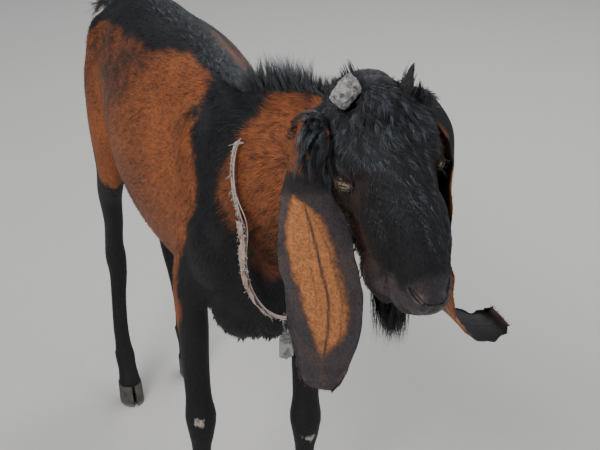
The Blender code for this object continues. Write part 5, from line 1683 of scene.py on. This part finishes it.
            made.append(
                self.lay(
                    hide, word + "_hair", word, 260000 * top, draw, ear_lie, 0.030 if side < 0 else 0.008, 0.0010,
                    0.05, 0.05, 0.85, 0.10,
                    wave=0.09,
                )
            )
        for obj in made:
            finished(obj, paint)
        return {"FINISHED"}


class GOAT_OT_eyes(bpy.types.Operator):
    """Amber eyes with level pupils, in wet lids"""

    bl_idname = "goat.eyes"
    bl_label = "Eyes"

    def execute(self, context):
        settings = context.scene.goat_trim
        for side, word in ((-1, "right"), (1, "left")):
            eye, along, across, _ = lid_frame(side)
            made, shader, place = material("eye_" + word + "_wet", 0.08, Coat_Weight=0.6, Coat_Roughness=0.03)
            centre = eye + SHIFT
            away = place - tuple(centre)
            over = away.node("ShaderNodeVectorMath", {"operation": "DOT_PRODUCT"}, {0: away, 1: tuple(along)}, 1)
            rise = away.node("ShaderNodeVectorMath", {"operation": "DOT_PRODUCT"}, {0: away, 1: tuple(across)}, 1)
            ring = ((over * over) + (rise * rise)) ** 0.5
            rays = place.noise(900.0, 3.0)
            iris = (rays + 60.0 * ring).ramp(0.5, 1.1).mix(settings.iris, [0.55 * v for v in settings.iris])
            # The pupil is set 1.2 mm off the eye's middle, towards the lower lid, so the pale amber above it also
            # stands for a painted reflection.
            pupil = ((over / 0.0066) ** 2.0 + ((rise + 0.0012) / 0.0015) ** 2.0).ramp(0.8, 1.1)
            colour = pupil.mix((0.004, 0.004, 0.005), iris)
            colour = ring.ramp(0.0088, 0.0100).mix(colour, (0.05, 0.03, 0.02))
            place.plug(shader.inputs["Base Color"], colour)
            obj = ball("eyeball_" + word, centre, [EYE_ROUND] * 3, rings=28)
            obj.data.shade_smooth()
            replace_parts(finished(obj, made), "eye_" + word)
            rim, shader, place = material("lid_rim_" + word, 0.30)
            height = (place - tuple(centre)).node(
                "ShaderNodeVectorMath", {"operation": "DOT_PRODUCT"}, {0: place - tuple(centre), 1: tuple(across)}, 1
            )
            colour = (place.noise(300.0) + 90.0 * height).ramp(0.45, 0.75).mix(
                (0.020, 0.012, 0.010), (0.150, 0.090, 0.070)
            )
            place.plug(shader.inputs["Base Color"], colour)
            place.plug(shader.inputs["Normal"], place.bump(place.noise(800.0), 0.4, 0.0004))
            edge = lid_fold(side, 0.0108, 0.0040, 0.00075, 0, 354)
            edge.name = edge.data.name = "lid_edge_" + word
            edge.data.transform(Matrix.Translation(SHIFT))
            finished(edge, rim)
        return {"FINISHED"}


# Corners of the right horn's broken crust, and the left horn's line with its radius, on the head.
CHIP = (
    (-0.0252, -0.0300, 0.0133), (-0.0204, -0.0217, 0.0126), (-0.0168, -0.0126, 0.0114), (-0.0179, -0.0038, 0.0091),
    (-0.0262, 0.0017, 0.0057), (-0.0408, 0.0098, 0.0001), (-0.0459, 0.0071, -0.0006), (-0.0511, -0.0002, -0.0002),
    (-0.0559, -0.0085, 0.0005), (-0.0482, -0.0164, 0.0043), (-0.0370, -0.0244, 0.0090), (-0.0327, -0.0186, 0.0204),
    (-0.0276, -0.0080, 0.0192), (-0.0333, 0.0008, 0.0157), (-0.0423, 0.0058, 0.0123), (-0.0486, -0.0003, 0.0121),
    (-0.0468, -0.0103, 0.0149), (-0.0246, -0.0280, 0.0003), (-0.0185, -0.0154, -0.0011), (-0.0253, -0.0050, -0.0052),
    (-0.0359, 0.0008, -0.0093), (-0.0434, -0.0064, -0.0095), (-0.0413, -0.0182, -0.0062), (-0.0290, -0.0020, -0.0180),
)
LEFT_HORN = (
    (0.0300, 0.0080, -0.0140, 0.0110), (0.0350, 0.0030, 0.0000, 0.0095), (0.0405, -0.0060, 0.0080, 0.0068),
    (0.0446, -0.0125, 0.0113, 0.0045), (0.0485, -0.0190, 0.0142, 0.0026), (0.0510, -0.0225, 0.0159, 0.0010),
)


def chip(name):
    """The broken crust of the right horn, from its corners."""
    shape = bmesh.new()
    for corner in CHIP:
        shape.verts.new(head_point(*corner))
    hull = bmesh.ops.convex_hull(shape, input=shape.verts[:])
    loose = [part for part in hull["geom_interior"] if isinstance(part, bmesh.types.BMVert)]
    bmesh.ops.delete(shape, geom=loose, context="VERTS")
    mesh = bpy.data.meshes.new(name)
    shape.to_mesh(mesh)
    shape.free()
    obj = fused(name, [new_object(name, mesh)], 0.0008)
    return softened(obj, 3, np.ones(len(obj.data.vertices)))


class GOAT_OT_horns(bpy.types.Operator):
    """Two crusty grey horn stubs"""

    bl_idname = "goat.horns"
    bl_label = "Horns"

    def execute(self, context):
        settings = context.scene.goat_trim
        for side, word in ((-1, "right"), (1, "left")):
            tone = 1.0 if side < 0 else 0.06
            made, shader, place = material("crusty_horn_" + word, 0.85)
            lumps, grit = place.noise(150.0, 6.0, 0.7), place.noise(700.0, 3.0)
            pits = place.cells(300.0)
            shade = lumps.ramp(0.36, 0.62).mix(
                [0.30 * tone * v for v in settings.horn], [1.35 * tone * v for v in settings.horn]
            )
            shade = (grit + 0.5 * pits).ramp(0.42, 0.62).mix([tone * v for v in (0.16, 0.14, 0.115)], shade)
            place.plug(shader.inputs["Base Color"], shade)
            place.plug(shader.inputs["Normal"], place.bump(lumps + 0.5 * pits + 0.3 * grit, 1.0, 0.0018))
            if side < 0:
                obj = chip("horn_right_crust")
            else:
                rows = [(*head_point(*spot), radius, radius, 0.0) for *spot, radius in LEFT_HORN]
                obj = loft("horn_left_crust", rows, head_way(1, 0, 0), steps=12, around=40)
            obj.data.transform(Matrix.Translation(SHIFT))
            points, normals = places_of(obj.data), normals_of(obj.data)
            rough = 0.0022 * (clouds(points, 0.0055, 5) - 0.6) + 0.0010 * (clouds(points, 0.0022, 8) - 0.5)
            set_places(obj.data, points + normals * rough[:, None])
            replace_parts(finished(obj, made), "horn_" + word)
        return {"FINISHED"}


class GOAT_OT_hooves(bpy.types.Operator):
    """Horn on the eight claws, ringed and worn"""

    bl_idname = "goat.hooves"
    bl_label = "Hooves"

    def execute(self, context):
        settings = context.scene.goat_trim
        made, shader, place = material("claw_horn", 0.55)
        rings = (place * (6.0, 6.0, 330.0)).noise(1.0, 3.0)
        worn = place.noise(90.0, 5.0)
        pale = place.split(2).ramp(0.001, 0.012)
        colour = worn.ramp(0.35, 0.75).mix(settings.hoof, [2.4 * v for v in settings.hoof])
        colour = (pale + 0.6 * rings).ramp(0.3, 0.8).mix((0.16, 0.14, 0.12), colour)
        place.plug(shader.inputs["Base Color"], colour)
        place.plug(shader.inputs["Roughness"], worn.ramp(0.3, 0.7, 0.45, 0.8))
        place.plug(shader.inputs["Normal"], place.bump(rings + 0.4 * worn, 0.6, 0.0012))
        for name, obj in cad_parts.items():
            if name.startswith("claw"):
                obj.material_slots[0].material = made
        return {"FINISHED"}


def string_tube(points, radius, sides=8, closed=True):
    """Points and faces of a round string along a line of places."""
    count = len(points)
    if closed:
        along = unit(np.roll(points, -1, axis=0) - np.roll(points, 1, axis=0))
    else:
        along = unit(np.gradient(points, axis=0))
    first = unit(np.cross(along, np.array((0.31, 0.83, 0.46))))
    second = np.cross(along, first)
    turn = np.linspace(0, 2 * math.pi, sides, endpoint=False)
    radius = np.broadcast_to(radius, count)[:, None, None]
    rings = (
        points[:, None] + radius * (first[:, None] * np.cos(turn)[:, None] + second[:, None] * np.sin(turn)[:, None])
    )
    faces = []
    for k in range(count if closed else count - 1):
        a, b = k * sides, (k + 1) % count * sides
        faces += [(a + j, a + (j + 1) % sides, b + (j + 1) % sides, b + j) for j in range(sides)]
    return rings.reshape(-1, 3), faces


def string_object(name, lines, radius, closed=True):
    """One piece of several strings."""
    points, faces = [], []
    for line in lines:
        more, rows = string_tube(line, radius, closed=closed)
        base = sum(len(p) for p in points)
        points.append(more)
        faces += [[i + base for i in face] for face in rows]
    obj = mesh_object(name, np.vstack(points), faces)
    shape = bmesh.new()
    shape.from_mesh(obj.data)
    if not closed:
        bmesh.ops.holes_fill(shape, edges=[edge for edge in shape.edges if edge.is_boundary], sides=0)
    bmesh.ops.recalc_face_normals(shape, faces=shape.faces)
    shape.to_mesh(obj.data)
    shape.free()
    obj.data.shade_smooth()
    return obj


class GOAT_OT_collar(bpy.types.Operator):
    """The collar's strings, and the torn cloth tied along them"""

    bl_idname = "goat.collar"
    bl_label = "Collar"

    def execute(self, context):
        settings = context.scene.goat_trim
        kept = np.array(context.scene["collar_line"]).reshape(-1, 6)
        fine = smooth_rows(np.vstack([kept, kept[:1]]), 4)[:-1]
        line, ways = fine[:, :3], unit(fine[:, 3:])
        line = line - ways * (0.0190 * smoothstep(0.770, 0.792, line[:, 2]))[:, None]
        along = unit(np.roll(line, -1, axis=0) - np.roll(line, 1, axis=0))
        wide = unit(np.cross(along, ways))
        count = len(line)
        phase = np.arange(count) / count
        strands = []
        for k, place in enumerate((-0.0066, -0.0042, -0.0017, 0.0009, 0.0034, 0.0060)):
            drift = (
                0.0019 * np.sin(2 * math.pi * (3 * phase + 0.37 * k))
                + 0.0007 * np.sin(2 * math.pi * (8 * phase + 0.61 * k))
            )
            lift = 0.0008 * np.sin(2 * math.pi * (4 * phase + 0.23 * k)) + 0.0010 * (k % 2)
            loose = 0.012 * np.exp(-(((phase - 0.50) / 0.055) ** 2)) if k == 0 else 0.0
            strands.append(line + wide * (place + drift - loose)[:, None] + ways * (lift - 0.0006)[:, None])
        made, shader, place = material("collar_string", 0.9)
        twist = place.noise(600.0, 3.0)
        stain = place.noise(38.0, 3.0)
        colour = stain.ramp(0.60, 0.70).mix(settings.string, (0.46, 0.15, 0.14))
        colour = twist.ramp(0.3, 0.7).mix([0.62 * v for v in settings.string], colour)
        place.plug(shader.inputs["Base Color"], colour)
        place.plug(shader.inputs["Normal"], place.bump(twist, 0.7, 0.0005))
        strings = string_object("collar_strings", strands, settings.string_radius)
        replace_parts(finished(strings, made), "collar")

        made, shader, place = material("torn_cloth", 0.95)
        weave = place.noise(1100.0, 2.0)
        dirt = place.noise(120.0, 4.0)
        colour = dirt.ramp(0.35, 0.62).mix([0.62 * v for v in settings.cloth], settings.cloth)
        colour = place.noise(90.0, 3.0).ramp(0.60, 0.68).mix(colour, (0.42, 0.09, 0.08))
        place.plug(shader.inputs["Base Color"], colour)
        place.plug(shader.inputs["Normal"], place.bump(weave + dirt, 0.8, 0.0010))
        span = np.arange(round(0.515 * count), round(0.730 * count) + 1)
        cells = 15
        rows = np.linspace(-1, 1, cells)
        grid = []
        for k in span:
            end = min(1.0, 0.5 + min(k - span[0], span[-1] - k) / 12)
            for v in rows:
                spot = line[k] + wide[k] * 0.0105 * end * v + ways[k] * 0.0056
                grid.append(spot)
        grid = np.array(grid)
        lift = 0.0046 * (clouds(grid, 0.010, 21) - 0.5) + 0.0032 * (clouds(grid, 0.0045, 22) - 0.5)
        grid += np.repeat(ways[span], cells, axis=0) * lift[:, None]
        torn = 0.0050 * (clouds(grid, 0.005, 23) - 0.5) + 0.0030 * (clouds(grid, 0.002, 24) - 0.5)
        grid += (
            np.repeat(wide[span], cells, axis=0)
            * (torn * np.tile(np.sign(rows) * np.abs(rows) ** 4, len(span)))[:, None]
        )
        faces = [
            (k * cells + j, k * cells + j + 1, (k + 1) * cells + j + 1, (k + 1) * cells + j)
            for k in range(len(span) - 1)
            for j in range(cells - 1)
        ]
        strip = mesh_object("torn_cloth_strip", grid, faces)
        thick = strip.modifiers.new("Thick", "SOLIDIFY")
        thick.thickness = 0.0010
        thick.offset = 0.0
        applied(strip)
        strip.data.shade_smooth()
        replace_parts(finished(strip, made), "collar_cloth")
        draw = np.random.default_rng(5)
        threads = []
        for k in range(90):
            at = int(draw.integers(2, len(span) - 2))
            side = -1.0 if k % 3 else 1.0
            start = grid[at * cells + (0 if side < 0 else cells - 1)]
            way = unit((side * wide[span[at]] + draw.uniform(-0.9, 0.9, 3))[None])[0]
            t = np.linspace(0, 1, 5)[:, None]
            long = draw.uniform(0.003, 0.009)
            droop = np.array((0, 0, -1.0)) * t**2 * draw.uniform(0.1, 0.7)
            threads.append(start - 0.001 * way + long * (t * way + droop))
        for k in range(170):
            at = int(draw.integers(count // 4, count * 3 // 4))
            start = line[at] + wide[at] * draw.uniform(-0.006, 0.006) + 0.001 * ways[at]
            way = unit((draw.uniform(-1, 1) * wide[at] + draw.choice((-1.5, 1.5)) * along[at] + draw.uniform(0.1, 0.9) * ways[at])[None])[
                0
            ]
            t = np.linspace(0, 1, 5)[:, None]
            threads.append(start + draw.uniform(0.004, 0.010) * (t * way + 0.25 * t**2 * draw.uniform(-1, 1, 3)))
        knot_at = grid[(len(span) * 5 // 8) * cells]
        for k in range(26):
            way = unit(draw.uniform(-1, 1, (1, 3)))[0]
            t = np.linspace(0, 1, 6)[:, None]
            curl = np.stack([np.sin(5 * t[:, 0] + k), np.cos(4 * t[:, 0] + k), np.sin(3 * t[:, 0])], -1)
            threads.append(knot_at + 0.0065 * t * way + 0.0016 * curl)
        loose, shader, place = material("frayed_thread", 0.95)
        colour = place.noise(150.0).ramp(0.35, 0.65).mix((0.28, 0.22, 0.18), (0.62, 0.56, 0.50))
        place.plug(shader.inputs["Base Color"], colour)
        place.plug(shader.inputs["Normal"], place.bump(place.noise(900.0), 0.5, 0.0004))
        fringe = finished(string_object("cloth_threads", threads, 0.00038, closed=False), loose)
        length = float(np.linalg.norm(np.diff(line[span], axis=0), axis=1).sum())
        return {"FINISHED"}


class GOAT_OT_bell(bpy.types.Operator):
    """Worn tin on the bell, its clapper and its link"""

    bl_idname = "goat.bell"
    bl_label = "Bell"

    def execute(self, context):
        settings = context.scene.goat_trim
        made, shader, place = material("worn_tin", 0.4, 1.0)
        cloud, scratch = place.noise(70.0, 5.0), (place * (1.0, 1.0, 0.12)).noise(1300.0, 2.0)
        dirt = (cloud + 0.12 * scratch).ramp(0.48, 0.72)
        colour = dirt.mix(settings.tin, (0.075, 0.065, 0.058))
        place.plug(shader.inputs["Base Color"], colour)
        place.plug(shader.inputs["Roughness"], (cloud + 0.3 * scratch).ramp(0.3, 0.9, 0.24, 0.52))
        place.plug(shader.inputs["Metallic"], dirt.ramp(0.0, 1.0, 1.0, 0.5))
        place.plug(shader.inputs["Normal"], place.bump(cloud + 0.15 * scratch, 0.25, 0.0005))
        for name in ("bell", "bell_clapper", "bell_link"):
            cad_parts[name].material_slots[0].material = made
        return {"FINISHED"}


class GOAT_OT_stage(bpy.types.Operator):
    """The pale floor, the soft light and the camera"""

    bl_idname = "goat.stage"
    bl_label = "Stage"

    def execute(self, context):
        settings = context.scene.goat_stage
        around = 96
        turn = 2 * np.pi * np.arange(around) / around
        arc = np.linspace(0, 0.5 * math.pi, 17)
        radius = np.concatenate([[0.01, 3.0], 6.0 + 3.0 * np.sin(arc), [9.0]])
        height = np.concatenate([[0.0, 0.0], 3.0 * (1 - np.cos(arc)), [4.5]]) - 0.0002
        rings = np.stack(
            [radius[:, None] * np.cos(turn), radius[:, None] * np.sin(turn), height[:, None] + 0 * turn], -1
        )
        faces = [
            (k * around + j, k * around + (j + 1) % around, (k + 1) * around + (j + 1) % around, (k + 1) * around + j)
            for k in range(len(radius) - 1)
            for j in range(around)
        ]
        floor = mesh_object("floor", rings.reshape(-1, 3), faces)
        floor.data.flip_normals()
        floor.data.shade_smooth()
        made, shader, place = material("pale_floor", 0.85)
        grain = place.noise(30.0, 6.0)
        colour = grain.mix([0.94 * v for v in settings.floor], settings.floor)
        place.plug(shader.inputs["Base Color"], colour)
        floor.data.materials.append(made)
        world = bpy.data.worlds.new("sky")
        context.scene.world = world
        world.use_nodes = True
        back = world.node_tree.nodes["Background"]
        back.inputs["Color"].default_value = (0.86, 0.93, 1.0, 1.0)
        back.inputs["Strength"].default_value = settings.sky
        for name, place, size, power in (
            ("window", (-2.2, -1.6, 3.2), 1.5, settings.light),
            ("fill", (2.4, -2.0, 2.2), 2.6, 0.30 * settings.light),
            ("rear", (1.5, 1.6, 3.0), 2.0, 0.55 * settings.light),
        ):
            lamp = bpy.data.lights.new(name, "AREA")
            lamp.energy = power
            lamp.size = size
            obj = new_object(name, lamp)
            obj.location = place
            obj.rotation_mode = "QUATERNION"
            obj.rotation_quaternion = (Vector((0, 0, 0.5)) - Vector(place)).to_track_quat("-Z", "Y")
        camera = bpy.data.cameras.new("camera")
        camera.lens = 74.4
        camera.sensor_width = 36.0
        eye = new_object("camera", camera)
        right, up = Vector((0.92283, -0.38489, -0.01567)), Vector((0.18236, 0.40067, 0.89789))
        turn = Matrix((right, up, right.cross(up))).transposed().to_4x4()
        eye.matrix_world = Matrix.Translation((-0.596, -1.698, 1.39)) @ turn
        context.scene.camera = eye
        return {"FINISHED"}


class GOAT_PT_panel(bpy.types.Panel):
    """Buttons for each group of the goat's pieces"""

    bl_idname = "GOAT_PT_panel"
    bl_label = "Goat"
    bl_space_type = "VIEW_3D"
    bl_region_type = "UI"
    bl_category = "Goat"

    def draw(self, context):
        for maker in MAKERS:
            self.layout.operator(maker.bl_idname)
        for settings in (context.scene.goat_coat, context.scene.goat_trim, context.scene.goat_stage):
            box = self.layout.box()
            for name in settings.__annotations__:
                box.prop(settings, name)


MAKERS = (
    GOAT_OT_stage,
    GOAT_OT_skin,
    GOAT_OT_short_hair,
    GOAT_OT_long_hair,
    GOAT_OT_eyes,
    GOAT_OT_horns,
    GOAT_OT_hooves,
    GOAT_OT_collar,
    GOAT_OT_bell,
)
CLASSES = (GoatCoatSettings, GoatTrimSettings, GoatStageSettings, *MAKERS, GOAT_PT_panel)


def register():
    """Adds the classes and their settings to Blender."""
    for made in CLASSES:
        bpy.utils.register_class(made)
    bpy.types.Scene.goat_coat = PointerProperty(type=GoatCoatSettings)
    bpy.types.Scene.goat_trim = PointerProperty(type=GoatTrimSettings)
    bpy.types.Scene.goat_stage = PointerProperty(type=GoatStageSettings)


def unregister():
    """Takes the classes and their settings out again."""
    del bpy.types.Scene.goat_coat, bpy.types.Scene.goat_trim, bpy.types.Scene.goat_stage
    for made in reversed(CLASSES):
        bpy.utils.unregister_class(made)


def main():
    """Dresses the goat piece by piece."""
    register()
    for maker in MAKERS:
        section, name = maker.bl_idname.split(".")
        getattr(getattr(bpy.ops, section), name)()


if __name__ == "__main__":
    main()
